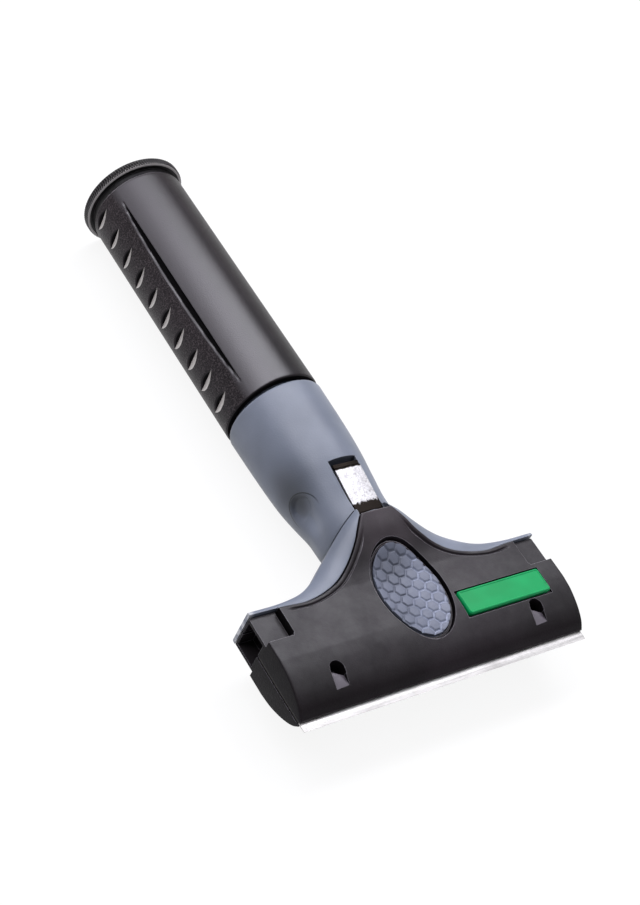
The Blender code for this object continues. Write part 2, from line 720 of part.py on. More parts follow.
def make_leaf():
    """The catch leaf lies in the slot and rocks about its rounded front end."""
    half = SLOT_WIDTH / 2 - LEAF_GAP
    pivot = (0, SLOT_FRONT_Y + FIT_GAP + LEAF_ROUND, LEAF_HEIGHT)
    turns = [math.pi / 2 + math.pi * k / LEAF_ROUND_STEPS for k in range(LEAF_ROUND_STEPS + 1)]
    outline = [(LEAF_ROUND * math.cos(a), LEAF_ROUND * math.sin(a)) for a in turns]
    under = LEAF_ROUND - LEAF_THICKNESS
    outline += [(LEAF_ROUND, under), (LEAF_LENGTH, under), (LEAF_LENGTH, LEAF_ROUND)]
    leaf = prism("pole_leaf", outline, -half, half, "X", STEEL)
    leaf.location = pivot
    leaf.rotation_euler.x = LEAF_SLOPE
    smooth(leaf)


def make_grip():
    inner = CORE_RADIUS + FIT_GAP
    profile = [
        (inner, GRIP_REAR_Y),
        (GRIP_REAR_RADIUS - GRIP_ROUND, GRIP_REAR_Y),
        (GRIP_REAR_RADIUS, GRIP_REAR_Y - GRIP_ROUND),
        (GRIP_FRONT_RADIUS, GRIP_FRONT_Y + GRIP_ROUND),
        (GRIP_FRONT_RADIUS - GRIP_ROUND, GRIP_FRONT_Y),
        (inner, GRIP_FRONT_Y),
    ]
    grip = turned("grip_sleeve", profile, SOFT_BLACK)
    for side in (-1, 1):
        for k in range(GROOVE_COUNT):
            groove_y = GRIP_FRONT_Y + GROOVE_FIRST + k * GROOVE_PITCH
            at = Matrix.Translation((side * GRIP_FRONT_RADIUS, groove_y, 0))
            radii = (GROOVE_DEPTH, GROOVE_HALF_WIDTH, GROOVE_HALF_LENGTH)
            cut(grip, ball("grip groove", radii, at, BALL_STEPS))
        spin = Matrix.Rotation(side * CREASE_ANGLE, 4, "Y")
        at = spin @ Matrix.Translation((0, GRIP_FRONT_Y + GRIP_LENGTH / 2, GRIP_FRONT_RADIUS))
        cut(grip, ball("grip crease", (CREASE_HALF_WIDTH, CREASE_HALF_LENGTH, CREASE_DEPTH), at))
    smooth(grip)


def make_ring():
    inner = CORE_RADIUS + FIT_GAP
    rib_y = RING_FRONT_Y + RING_NECK
    profile = [
        (inner, REAR_Y),
        (RING_RADIUS - RING_ROUND, REAR_Y),
        (RING_RADIUS, REAR_Y - RING_ROUND),
        (RING_RADIUS, rib_y + RING_ROUND),
        (RING_RADIUS - RING_ROUND, rib_y),
        (RING_NECK_RADIUS, rib_y),
        (RING_NECK_RADIUS, RING_FRONT_Y),
        (inner, RING_FRONT_Y),
    ]
    ring = turned("end_ring", profile, BLACK_PLASTIC)
    smooth(ring)


def make_blade():
    half_edge = BLADE_EDGE / 2
    outline = [
        (0, -half_edge),
        (BLADE_GRIND, -BLADE_HALF),
        (BLADE_DEPTH, -BLADE_HALF),
        (BLADE_DEPTH, BLADE_HALF),
        (BLADE_GRIND, BLADE_HALF),
        (0, half_edge),
    ]
    blade = prism("blade", outline, -BLADE_LENGTH / 2, BLADE_LENGTH / 2, "X", STEEL)
    set_origin(blade, (0, BLADE_DEPTH / 2, 0))


def cover_skin(name, sink, floor):
    """A block under the covers' outer surface, sunk by a given depth, over the button's length."""
    front = BUTTON_PLACE - FLANGE_HALF_LENGTH
    rear = BUTTON_PLACE + FLANGE_HALF_LENGTH
    stations = [front + (rear - front) * k / SKIN_STEPS for k in range(SKIN_STEPS + 1)]
    outline = [(front, floor)] + [(y, cover_height(y) - sink) for y in stations] + [(rear, floor)]
    outline.reverse()
    return prism(name, outline, -FLANGE_HALF_WIDTH, FLANGE_HALF_WIDTH, "X")


def pad_dish():
    """A shallow ball that hollows the pad's top and runs out near its edge."""
    front = cover_height(BUTTON_PLACE - PAD_HALF_LENGTH)
    rear = cover_height(BUTTON_PLACE + PAD_HALF_LENGTH)
    lowest = cover_height(BUTTON_PLACE) - PAD_DISH
    cap_share = 1 - math.sqrt(1 - 1 / DISH_LENGTH_SHARE**2)
    height = ((front + rear) / 2 - lowest) / cap_share
    tilt = math.atan2(rear - front, PAD_HALF_LENGTH + PAD_HALF_LENGTH)
    matrix = Matrix.Translation((0, BUTTON_PLACE, lowest + height)) @ Matrix.Rotation(tilt, 4, "X")
    radii = (PAD_HALF_WIDTH * DISH_WIDTH_SHARE, PAD_HALF_LENGTH * DISH_LENGTH_SHARE, height)
    return ball("pad dish", radii, matrix, OVAL_STEPS)


def make_button():
    middle = (0, BUTTON_PLACE)
    sky = HALF_THICKNESS + RISE_HEIGHT
    size = (BUTTON_HALF_WIDTH, BUTTON_HALF_LENGTH)
    shell = oval("button_shell", *size, middle, BUTTON_BOTTOM_Z, sky, material=BLACK_PLASTIC)
    boolean(shell, cover_skin("shell skin", BUTTON_SINK, BUTTON_BOTTOM_Z - OVERRUN), "INTERSECT")
    flange_top = BUTTON_BOTTOM_Z + FLANGE_THICKNESS
    flange = oval("flange", FLANGE_HALF_WIDTH, FLANGE_HALF_LENGTH, middle, BUTTON_BOTTOM_Z, flange_top)
    join(shell, flange)
    pocket = oval("pad pocket", PAD_HALF_WIDTH + FIT_GAP, PAD_HALF_LENGTH + FIT_GAP, middle, -sky, sky)
    boolean(pocket, cover_floor("pocket floor", PAD_SINK + PAD_THICKNESS + FIT_GAP), "DIFFERENCE")
    cut(shell, pocket)
    for end in (-1, 1):
        at = (end * LEG_PLACE_X, LEG_PLACE_Y)
        join(shell, oval("leg", LEG_RADIUS, LEG_RADIUS, at, CLAMP_TOP_Z + FIT_GAP, flange_top, SMALL_STEPS))
    pad = oval("button_pad", PAD_HALF_WIDTH, PAD_HALF_LENGTH, middle, BUTTON_BOTTOM_Z, sky, material=SOFT_GREY)
    boolean(pad, cover_skin("pad skin", PAD_SINK, BUTTON_BOTTOM_Z - OVERRUN), "INTERSECT")
    cut(pad, cover_floor("pad floor", PAD_SINK + PAD_THICKNESS), pad_dish())
    for piece in (shell, pad):
        smooth(piece)
        set_origin(piece, (0, BUTTON_PLACE, BUTTON_BOTTOM_Z))


def cover_floor(name, sink):
    """A block with its top sunk below the covers' surface and its bottom far below."""
    return cover_skin(name, sink, -HALF_THICKNESS - RISE_HEIGHT - OVERRUN)


def clamp_outline(gap):
    """The T shape of the clamp plate, or of the room around it with a gap."""
    half = CLAMP_HALF_LENGTH + gap
    tongue = TONGUE_HALF_WIDTH + gap
    front = CLAMP_FRONT - gap
    shoulder = CLAMP_REAR + gap
    rear = TONGUE_REAR + gap
    right = [(half, front), (half, shoulder), (tongue, shoulder), (tongue, rear)]
    return both_sides(right)


def make_clamp():
    plate = prism("clamp_plate", clamp_outline(0), CLAMP_BOTTOM_Z, CLAMP_TOP_Z, "Z", SPRING_STEEL)
    set_origin(plate, (0, SPRING_PLACE_Y, CLAMP_TOP_Z))
    for name, side in (("spring_left", -1), ("spring_right", 1)):
        make_spring(name, side)


def make_spring(name, side):
    coil = bpy.data.curves.new(name, "CURVE")
    coil.dimensions = "3D"
    coil.bevel_depth = SPRING_WIRE
    coil.bevel_resolution = 1
    coil.use_fill_caps = True
    line = coil.splines.new("POLY")
    steps = SPRING_TURNS * SPRING_POINTS_PER_TURN
    line.points.add(steps)
    climb = SPRING_LENGTH - SPRING_WIRE - SPRING_WIRE
    for k, point in enumerate(line.points):
        turn = math.tau * k / SPRING_POINTS_PER_TURN
        height = SPRING_WIRE + climb * k / steps
        point.co = (SPRING_RADIUS * math.cos(turn), SPRING_RADIUS * math.sin(turn), height, 1.0)
    obj = place(bpy.data.objects.new(name, coil), SPRING_STEEL)
    obj.location = (side * SPRING_PLACE_X, SPRING_PLACE_Y, SPRING_BOTTOM_Z)


def make_screws():
    neck = SCREW_LOW_Z + SCREW_HEAD_HEIGHT
    profile = [
        (0, SCREW_TIP_Z),
        (SCREW_RADIUS, SCREW_TIP_Z),
        (SCREW_RADIUS, neck),
        (SCREW_HEAD_RADIUS, neck),
        (SCREW_HEAD_RADIUS, SCREW_LOW_Z),
        (0, SCREW_LOW_Z),
    ]
    for name, side in (("screw_left", -1), ("screw_right", 1)):
        screw = turned(name, profile, STEEL, SMALL_STEPS, "Z")
        screw.location = (side * SCREW_PLACE_X, SCREW_PLACE_Y, 0)


make_handle_body()
make_leaf()
make_grip()
make_ring()
make_top_cover()
make_bottom_cover()
make_badge()
make_button()
make_clamp()
make_blade()
make_screws()
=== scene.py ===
import math

import bmesh
import bpy
from mathutils import Matrix, Vector


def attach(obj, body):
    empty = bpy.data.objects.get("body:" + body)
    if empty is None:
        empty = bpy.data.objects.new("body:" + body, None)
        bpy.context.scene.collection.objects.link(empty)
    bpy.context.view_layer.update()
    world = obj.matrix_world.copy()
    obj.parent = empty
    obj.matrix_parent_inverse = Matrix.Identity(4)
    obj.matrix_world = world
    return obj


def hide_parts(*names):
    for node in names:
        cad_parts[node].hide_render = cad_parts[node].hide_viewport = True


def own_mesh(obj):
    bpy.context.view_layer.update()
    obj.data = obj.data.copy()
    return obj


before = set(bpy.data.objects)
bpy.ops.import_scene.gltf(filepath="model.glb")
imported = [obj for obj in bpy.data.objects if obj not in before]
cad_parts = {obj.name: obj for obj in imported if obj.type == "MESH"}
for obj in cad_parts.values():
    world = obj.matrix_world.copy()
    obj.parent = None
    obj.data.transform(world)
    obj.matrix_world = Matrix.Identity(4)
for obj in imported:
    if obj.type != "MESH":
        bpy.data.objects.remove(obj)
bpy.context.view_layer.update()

# Sizes are millimetres in the tool's own frame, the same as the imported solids:
# x runs along the blade, y back from the cutting edge, z up from the blade's middle plane
MM = 0.001
# Height of the handle's axis over the floor, in metres
AXIS_Z = 0.0167
TO_FRAME = Matrix.Translation((0.0, -0.09615, AXIS_Z)) @ Matrix.Scale(MM, 4)
# Room between two pieces that are put together
FIT = 0.3

# The head: half its length, then the y of the covers' lip and crown, the end steps, the wings and the rear edge
HEAD_HALF = 50.2
LIP_Y, CROWN_Y, STEP_Y, WING_Y, COVER_REAR_Y = 2.6, 18.5, 23.7, 32.9, 50.6
# The y where the covers start to rise, where the neck's nose begins, and of the seam between neck and grip
RISE_Y, NOSE_Y, SEAM_Y = 33.0, 45.8, 98.5
GRIP_FRONT_Y, GRIP_REAR_Y, RING_Y, REAR_Y = 100.2, 187.5, 187.8, 192.3
# Height of the top cover's crown, how far it rises behind it, and where the two covers meet
HALF_THICKNESS, RISE_HEIGHT, SPLIT_Z = 7.8, 6.5, 0.5
# The button's middle, and its well and the wider room for its foot, as half widths and half lengths
BUTTON_Y, WELL, FOOT_ROOM = 26.792, (11.3, 16.0), (12.6, 17.3)
WINDOW_X, WINDOW_HALF = 35.3, 2.4
BADGE_LOW, BADGE_HIGH = (12.35, 14.1), (42.65, 21.9)
SCREW_X, SCREW_Y, SCREW_BORE = 24.0, 28.6, 1.5
SPRING_X, SPRING_Y = 11.0, 15.92
# The catch leaf's slot in the neck
SLOT_FRONT_Y, SLOT_REAR_Y, SLOT_HALF = 51.5, 69.7, 4.8
NECK_RADIUS, SLEEVE_BORE = 15.45, 13.3

# Profiles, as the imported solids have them: shares of a length against shares of a size
NOSE_SHARES = ((0, 0.15), (0.085, 0.36), (0.21, 0.55), (0.4, 0.745), (0.66, 0.92), (0.92, 0.995), (1, 1))
RISE_SHARES = ((0, 0), (0.227, 0.123), (0.511, 0.475), (0.74, 0.78), (1, 1))
NECK_SHARES = ((0, 0.62), (0.02, 0.7), (0.055, 0.765), (0.1, 0.81), (0.16, 0.83), (0.24, 0.845), (0.36, 0.9),
               (0.5, 0.955), (0.75, 0.985), (1, 1))
COVER_FLARE = ((1, 0), (0.8, -0.01), (0.62, -0.035), (0.44, 0.09), (0.315, 0.3), (0.215, 0.575), (0.15, 0.83),
               (0.105, 1))
RIM_FLARE = ((1, 0), (0.837, 0), (0.717, 0.037), (0.617, 0.106), (0.528, 0.229), (0.438, 0.4), (0.349, 0.575),
             (0.259, 0.75), (0.179, 0.888), (0.098, 1))
# A wing's outline: its shares, the y of its end, and how far back it reaches from there
COVER_WING = (COVER_FLARE, WING_Y, COVER_REAR_Y - WING_Y)
RIM_WING = (RIM_FLARE, WING_Y + 1.4, 18.8)


def along(table, share):
    """Reads a smooth value between the points of a table."""
    last = len(table) - 1
    at = min(max(share, table[0][0]), table[last][0])
    i = next(k for k in range(last) if at <= table[k + 1][0])
    (x0, y0), (x1, y1) = table[i], table[i + 1]
    before, after = table[max(i - 1, 0)], table[min(i + 2, last)]
    start = (y1 - before[1]) / (x1 - before[0]) * (x1 - x0)
    end = (after[1] - y0) / (after[0] - x0) * (x1 - x0)
    t = (at - x0) / (x1 - x0)
    return y0 + (y1 - y0) * t * t * (3 - 2 * t) + start * t * (1 - t) ** 2 - end * t * t * (1 - t)


def cover_height(y):
    """Height of the top cover over the blade's plane."""
    if y < CROWN_Y:
        return HALF_THICKNESS * along(NOSE_SHARES, (y - LIP_Y) / (CROWN_Y - LIP_Y))
    return HALF_THICKNESS + RISE_HEIGHT * along(RISE_SHARES, (y - RISE_Y) / (COVER_REAR_Y - RISE_Y))


def neck_radius(y):
    """Radius of the neck, from its nose between the covers to the seam with the grip."""
    return NECK_RADIUS * along(NECK_SHARES, (y - NOSE_Y) / (SEAM_Y - NOSE_Y))


def flare(shares, front, depth, count):
    """The right half of a wing outline from the wing's end to the neck, as evenly spaced points."""
    last, fine = len(shares) - 1, 400
    xs = [(k / last, share[0]) for k, share in enumerate(shares)]
    ys = [(k / last, share[1]) for k, share in enumerate(shares)]
    line = [(HEAD_HALF * along(xs, k / fine), front + depth * along(ys, k / fine)) for k in range(fine + 1)]
    lengths = [0.0]
    for a, b in zip(line, line[1:]):
        lengths.append(lengths[-1] + math.dist(a, b))
    made, i = [], 0
    for k in range(count):
        goal = lengths[-1] * k / (count - 1)
        while i < fine - 1 and lengths[i + 1] < goal:
            i += 1
        t = (goal - lengths[i]) / (lengths[i + 1] - lengths[i])
        made.append(tuple(a + (b - a) * t for a, b in zip(line[i], line[i + 1])))
    return made


def mirrored(half):
    """A whole outline from its right half, which starts at the front."""
    return half + [(-x, y) for x, y in reversed(half)]


def moved_out(line, distance):
    """An outline moved sideways by a distance."""
    made = []
    for i, point in enumerate(line):
        run = (Vector(line[min(i + 1, len(line) - 1)]) - Vector(line[max(i - 1, 0)])).normalized()
        made.append((point[0] + distance * run.y, point[1] - distance * run.x))
    return made


# ---- Shapes ----


def block(low, high):
    """A box between two corners."""
    shape = bmesh.new()
    low, high = Vector(low), Vector(high)
    matrix = Matrix.Translation((low + high) / 2) @ Matrix.Diagonal((*(high - low), 1.0))
    bmesh.ops.create_cube(shape, size=1.0, matrix=matrix)
    return shape


def oval(half_width, half_length, middle, low, high, steps=128):
    """An upright oval cylinder."""
    shape = bmesh.new()
    matrix = Matrix.Translation((*middle, (low + high) / 2)) @ Matrix.Diagonal((half_width, half_length, high - low, 1))
    bmesh.ops.create_cone(shape, cap_ends=True, segments=steps, radius1=1, radius2=1, depth=1, matrix=matrix)
    return shape


def raised(outline, low, high, axis="Z"):
    """A flat outline filled and pulled up along Z, or along X for an outline of (y, z)."""
    shape = bmesh.new()
    verts = [shape.verts.new((u, v, low) if axis == "Z" else (low, u, v)) for u, v in outline]
    bmesh.ops.contextual_create(shape, geom=verts)
    pulled = bmesh.ops.extrude_face_region(shape, geom=shape.faces[:])
    top = [g for g in pulled["geom"] if isinstance(g, bmesh.types.BMVert)]
    bmesh.ops.translate(shape, vec=(0, 0, high - low) if axis == "Z" else (high - low, 0, 0), verts=top)
    bmesh.ops.recalc_face_normals(shape, faces=shape.faces)
    return shape


def turned(profile, steps, axis="Y"):
    """Spins a profile of (radius, distance) points round the handle's line, or round Z."""
    shape = bmesh.new()
    verts = [shape.verts.new((r, d, 0) if axis == "Y" else (r, 0, d)) for r, d in profile]
    edges = [shape.edges.new(pair) for pair in zip(verts, verts[1:])]
    if profile[0][0] > 0:
        edges.append(shape.edges.new((verts[-1], verts[0])))
    line = (0, 1, 0) if axis == "Y" else (0, 0, 1)
    bmesh.ops.spin(shape, geom=verts + edges, cent=(0, 0, 0), axis=line, angle=math.tau, steps=steps, use_merge=True)
    bmesh.ops.remove_doubles(shape, verts=shape.verts, dist=0.0005)
    bmesh.ops.recalc_face_normals(shape, faces=shape.faces)
    return shape


def press_in(vert, depth):
    """Moves a point towards the handle's axis."""
    share = 1 - depth / math.hypot(vert.co.x, vert.co.z)
    vert.co.x *= share
    vert.co.z *= share


def combined(shape, others, operation="DIFFERENCE"):
    """Cuts other shapes out of a shape, or joins them to it, with the exact Boolean."""
    held = []
    for part in [shape, *others]:
        mesh = bpy.data.meshes.new("bench")
        part.to_mesh(mesh)
        part.free()
        held.append(bpy.data.objects.new("bench", mesh))
        bpy.context.scene.collection.objects.link(held[-1])
    for other in held[1:]:
        modifier = held[0].modifiers.new("bench", "BOOLEAN")
        modifier.operation = operation
        modifier.object = other
    graph = bpy.context.evaluated_depsgraph_get()
    mesh = bpy.data.meshes.new_from_object(held[0].evaluated_get(graph))
    made = bmesh.new()
    made.from_mesh(mesh)
    bpy.data.meshes.remove(mesh)
    for part in held:
        mesh = part.data
        bpy.data.objects.remove(part)
        bpy.data.meshes.remove(mesh)
    return made


def piece(name, shape, finish, body, slot, *stands_for, sharp=34):
    """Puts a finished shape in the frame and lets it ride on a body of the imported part."""
    bmesh.ops.transform(shape, matrix=TO_FRAME, verts=shape.verts)
    mesh = bpy.data.meshes.new(name)
    shape.to_mesh(mesh)
    shape.free()
    mesh.materials.append(finish)
    mesh.shade_smooth()
    mesh.set_sharp_from_angle(angle=math.radians(sharp))
    obj = bpy.data.objects.new(name, mesh)
    bpy.context.scene.collection.objects.link(obj)
    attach(obj, body)
    if stands_for:
        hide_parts(*stands_for)
    return obj


# ---- Finishes ----
# Places in the finishes are metres in the frame, which is what Object coordinates give


def linear(code):
    """Turns an sRGB hex colour into the linear colour that a shader takes."""
    parts = [int(code[i:i + 2], 16) / 255 for i in (1, 3, 5)]
    return (*(c / 12.92 if c <= 0.04045 else ((c + 0.055) / 1.055) ** 2.4 for c in parts), 1.0)


def add(tree, kind, inputs=None, **settings):
    """Adds a node with its settings. An input that is a socket is linked, one that is a node is linked from its
    first output in use, and any other value is set."""
    node = tree.nodes.new(kind)
    for name, value in settings.items():
        setattr(node, name, value)
    for name, value in (inputs or {}).items():
        if isinstance(value, bpy.types.Node):
            value = next(output for output in value.outputs if output.enabled)
        if isinstance(value, bpy.types.NodeSocket):
            tree.links.new(value, node.inputs[name])
        else:
            node.inputs[name].default_value = value
    return node


def per_mm(size):
    """A texture scale whose pattern repeats about every given number of millimetres."""
    return 1000.0 / size


def new_finish(name):
    """An empty material, its tree, and the coordinates of the object that it lies on."""
    made = bpy.data.materials.new(name)
    made.use_nodes = True
    made.node_tree.nodes.clear()
    return made, made.node_tree, add(made.node_tree, "ShaderNodeTexCoord")


def rise_along(tree, vector, direction, start, end, least=0.0, most=1.0):
    """A factor that changes as a place lies, or a normal points, further along a direction."""
    reach = add(tree, "ShaderNodeVectorMath", {0: vector, 1: direction}, operation="DOT_PRODUCT")
    return add(tree, "ShaderNodeMapRange", {"Value": reach, "From Min": start, "From Max": end,
                                            "To Min": least, "To Max": most})


def patch(tree, place, spot, near, far, inside, outside=1.0):
    """A factor that has one value round a spot and goes smoothly over to another away from it."""
    away = add(tree, "ShaderNodeVectorMath", {0: place, 1: spot}, operation="DISTANCE")
    return add(tree, "ShaderNodeMapRange", {"Value": away, "From Min": near, "From Max": far, "To Min": inside,
                                            "To Max": outside}, interpolation_type="SMOOTHSTEP")


def from_axis(tree, place):
    """How far a place is from the handle's axis."""
    flat = add(tree, "ShaderNodeMapping", {"Vector": place, "Location": (0, 0, -AXIS_Z), "Scale": (1, 0, 1)})
    return add(tree, "ShaderNodeVectorMath", {0: flat}, operation="LENGTH")


def moulded(name, tones, grain, grain_depth, roughness, level, edge=0.25, wear_and_highlight_tone=None, wear_and_highlight_share=0.5, sheen="#ffffff",
            corner_shading=(1.6, 0.45), polish=None, marks_and_painted_light=None):
    """Injection-moulded plastic: slow colour drift, a fine spark-eroded grain, painted shade in corners, and edges
    paled partly by wear and partly by a painted highlight.

    Sizes are millimetres. The real grain is finer than a tenth of one, and is drawn as coarse as it needs to show.
    """
    made, tree, own = new_finish(name)
    place = own.outputs["Object"]
    drift = add(tree, "ShaderNodeTexNoise", {"Vector": place, "Scale": per_mm(28), "Detail": 3.0, "Roughness": 0.6})
    shade = add(tree, "ShaderNodeValToRGB", {"Fac": drift})
    shade.color_ramp.elements.new(0.5)
    for element, position, tone in zip(shade.color_ramp.elements, (0.32, 0.5, 0.68), tones):
        element.position, element.color = position, linear(tone)
    reach, darkest = corner_shading
    # Painted shade: ambient occlusion darkens the colour in corners, creases and recesses
    corner = add(tree, "ShaderNodeAmbientOcclusion", {"Distance": reach * MM}, samples=6)
    painted_corner_shade = add(tree, "ShaderNodeMapRange", {"Value": corner.outputs["AO"], "From Min": 0.25, "From Max": 0.8,
                                             "To Min": darkest, "To Max": 1.0}, name="painted_corner_shade")
    colour = add(tree, "ShaderNodeMix", {0: 1.0, 6: shade, 7: painted_corner_shade}, data_type="RGBA", blend_type="MULTIPLY")
    rounded = add(tree, "ShaderNodeBevel", {"Radius": edge * MM}, samples=6)
    # Edges go paler: partly rubbed wear, partly a painted highlight where edges catch the light
    if wear_and_highlight_tone:
        flat = add(tree, "ShaderNodeNewGeometry").outputs["Normal"]
        bend = add(tree, "ShaderNodeVectorMath", {0: rounded, 1: flat}, operation="DOT_PRODUCT")
        pale_share = add(tree, "ShaderNodeMapRange", {"Value": bend, "From Min": 0.985, "From Max": 0.86, "To Max": wear_and_highlight_share})
        patchy = add(tree, "ShaderNodeTexNoise", {"Vector": place, "Scale": per_mm(2.2), "Detail": 4.0})
        pale_share = add(tree, "ShaderNodeMath", {0: pale_share, 1: patchy}, operation="MULTIPLY")
        colour = add(tree, "ShaderNodeMix", {0: pale_share, 6: colour, 7: linear(wear_and_highlight_tone)}, data_type="RGBA")
    if marks_and_painted_light:
        colour = marks_and_painted_light(tree, own, colour)
    fine = add(tree, "ShaderNodeTexNoise", {"Vector": place, "Scale": per_mm(grain), "Detail": 2.0, "Roughness": 0.55})
    bump = add(tree, "ShaderNodeBump", {"Height": fine, "Strength": 1.0, "Distance": grain_depth * MM,
                                        "Normal": rounded})
    smear = add(tree, "ShaderNodeTexNoise", {"Vector": place, "Scale": per_mm(9), "Detail": 4.0, "Roughness": 0.7})
    dull = add(tree, "ShaderNodeMapRange", {"Value": smear, "From Min": 0.3, "From Max": 0.7,
                                            "To Min": roughness - 0.05, "To Max": roughness + 0.06})
    skin = {"Base Color": colour, "Roughness": dull, "Normal": bump, "Specular IOR Level": level,
            "Specular Tint": linear(sheen)}
    if polish:
        direction, low, high, weight = polish
        handled = rise_along(tree, own.outputs["Normal"], direction, low, high, 0.0, weight)
        patchy = add(tree, "ShaderNodeMapRange", {"Value": smear, "From Min": 0.3, "From Max": 0.7,
                                                  "To Min": 0.55, "To Max": 1.25})
        handled = add(tree, "ShaderNodeMath", {0: handled, 1: patchy}, operation="MULTIPLY")
        skin |= {"Coat Weight": handled, "Coat Roughness": roughness}
    shader = add(tree, "ShaderNodeBsdfPrincipled", skin)
    add(tree, "ShaderNodeOutputMaterial", {"Surface": shader})
    return made


def neck_wear_shade_and_highlight(tree, own, colour):
    """The wings' rims are rubbed pale at their ends. Painted shade lies round the rear edge of each thumb dent and
    beside it, a painted shade line follows that edge, and a painted highlight lies on the dent's floor."""
    halves = add(tree, "ShaderNodeVectorMath", {0: own.outputs["Object"]}, operation="ABSOLUTE")
    tip = rise_along(tree, halves, (1, 0, 0), 0.0483, 0.0499)
    patchy = add(tree, "ShaderNodeTexNoise", {"Vector": own.outputs["Object"], "Scale": per_mm(1.6), "Detail": 5.0})
    pale_share = add(tree, "ShaderNodeMapRange", {"Value": patchy, "From Min": 0.35, "From Max": 0.6})
    pale_share = add(tree, "ShaderNodeMath", {0: tip, 1: pale_share}, operation="MULTIPLY")
    colour = add(tree, "ShaderNodeMix", {0: pale_share, 6: colour, 7: linear("#bfc0c2")}, data_type="RGBA")
    # A thin painted shade line follows the rear half of the dent's edge
    dent_y, dent_z, reach = 0.03385, 0.0185, 0.0059
    flat = add(tree, "ShaderNodeMapping", {"Vector": halves, "Location": (0, -dent_y / reach, -dent_z / reach),
                                           "Scale": (0, 1 / reach, 1 / reach)})
    ring = add(tree, "ShaderNodeVectorMath", {0: flat}, operation="LENGTH")
    line = add(tree, "ShaderNodeMath", {0: ring, 1: 1.0, 2: 0.03}, operation="COMPARE")
    rear = rise_along(tree, flat, (0, 1, 0), 0.3, -0.2, 0.0, 0.7)
    line = add(tree, "ShaderNodeMath", {0: line, 1: rear}, operation="MULTIPLY")
    shade = add(tree, "ShaderNodeMath", {0: 1.0, 1: line}, operation="SUBTRACT")
    # Spots that scale the colour: those below 1 are painted shade round and beside the dent, the one above 1 a painted
    # highlight on its floor
    for spot, near, far, strength in (((0.0139, 0.0272, 0.0195), 0.001, 0.0125, 0.36),
                                      ((0.0138, 0.0312, 0.0182), 0.0005, 0.0045, 0.4),
                                      ((0.0129, 0.0381, 0.0185), 0.001, 0.0055, 1.4),
                                      ((0.0185, 0.0475, 0.0285), 0.004, 0.012, 0.82)):
        zone = patch(tree, halves, spot, near, far, strength)
        shade = add(tree, "ShaderNodeMath", {0: zone, 1: shade}, operation="MULTIPLY")
    return add(tree, "ShaderNodeVectorMath", {0: colour, 1: shade}, operation="MULTIPLY")


def cover_shade_and_pale_spot(tree, own, colour):
    """The end faces are painted darker as shade, and a spot on the rise behind the button is made lighter."""
    # Painted shade: faces turned towards the ends are darkened
    sides = add(tree, "ShaderNodeVectorMath", {0: own.outputs["Normal"]}, operation="ABSOLUTE")
    end_face_shade = rise_along(tree, sides, (1, 0, 0), 0.75, 0.97, 1.0, 0.4)
    colour = add(tree, "ShaderNodeVectorMath", {0: colour, 1: end_face_shade}, operation="MULTIPLY")
    # A spot on the rise behind the button is made lighter
    spot_tone = patch(tree, own.outputs["Object"], (0.0, -0.0507, 0.0295), 0.004, 0.015, 2.8)
    return add(tree, "ShaderNodeVectorMath", {0: colour, 1: spot_tone}, operation="MULTIPLY")


def ring_wear_and_highlight(tree, own, colour):
    """The knurl's crests are paler than its valleys, partly rubbed and partly a painted highlight that is strongest
    where they face sideways and down, and a painted highlight lines the rib's front shoulder.
    """
    radius = from_axis(tree, own.outputs["Object"])
    # Crests paler: partly rubbed wear, partly a painted highlight, more where they face sideways and down
    crest = add(tree, "ShaderNodeMapRange", {"Value": radius, "From Min": 0.01652, "From Max": 0.01669})
    upward = rise_along(tree, own.outputs["Normal"], (0, 0, 1), 0.2, 0.75, 1.1, 0.35)
    crest = add(tree, "ShaderNodeMath", {0: crest, 1: upward}, operation="MULTIPLY")
    colour = add(tree, "ShaderNodeMix", {0: crest, 6: colour, 7: linear("#625e5d")}, data_type="RGBA")
    # A painted highlight along the rib's front shoulder
    shoulder = add(tree, "ShaderNodeMath", {0: radius, 1: 0.01602, 2: 0.00032}, operation="COMPARE")
    front = rise_along(tree, own.outputs["Object"], (0, 1, 0), 0.0945, 0.094, 0.0, 0.85)
    shoulder = add(tree, "ShaderNodeMath", {0: shoulder, 1: front}, operation="MULTIPLY")
    return add(tree, "ShaderNodeMix", {0: shoulder, 6: colour, 7: linear("#b3aeac")}, data_type="RGBA")


def pad_painted_shade_and_light(tree, own, colour):
    """Painted shade darkens the grooves on the rear left and a painted highlight pales them on the front right, and
    painted shade darkens the pad towards its rear left."""
    # Painted shade and highlight in the grooves: darker on the rear left, paler on the front right
    dust_and_groove_shading = rise_along(tree, own.outputs["Object"], (0.89, -0.45, 0.0), 0.0295, 0.0345, 0.05, 4.2)
    tree.links.new(dust_and_groove_shading.outputs["Result"], tree.nodes["painted_corner_shade"].inputs["To Min"])
    # Painted shade on the pad towards its rear left
    flat = add(tree, "ShaderNodeMapping", {"Vector": own.outputs["Object"], "Scale": (1, 1, 0)})
    spot_tone = patch(tree, flat, (-0.0021, -0.0598, 0.0), 0.0015, 0.0105, 0.56, 0.87)
    return add(tree, "ShaderNodeVectorMath", {0: colour, 1: spot_tone}, operation="MULTIPLY")


# Blue-grey ABS, spark-eroded tool: an even satin with a soft broad sheen and slightly paler edges, partly rubbed and
# partly a painted highlight
GREY_ABS = moulded("blue-grey moulded ABS", ("#666c79", "#6f7582", "#797f8d"), 0.5, 0.04, 0.42, 0.4,
                   wear_and_highlight_tone="#b9bcc4", wear_and_highlight_share=0.9, corner_shading=(2.6, 0.25), marks_and_painted_light=neck_wear_shade_and_highlight)
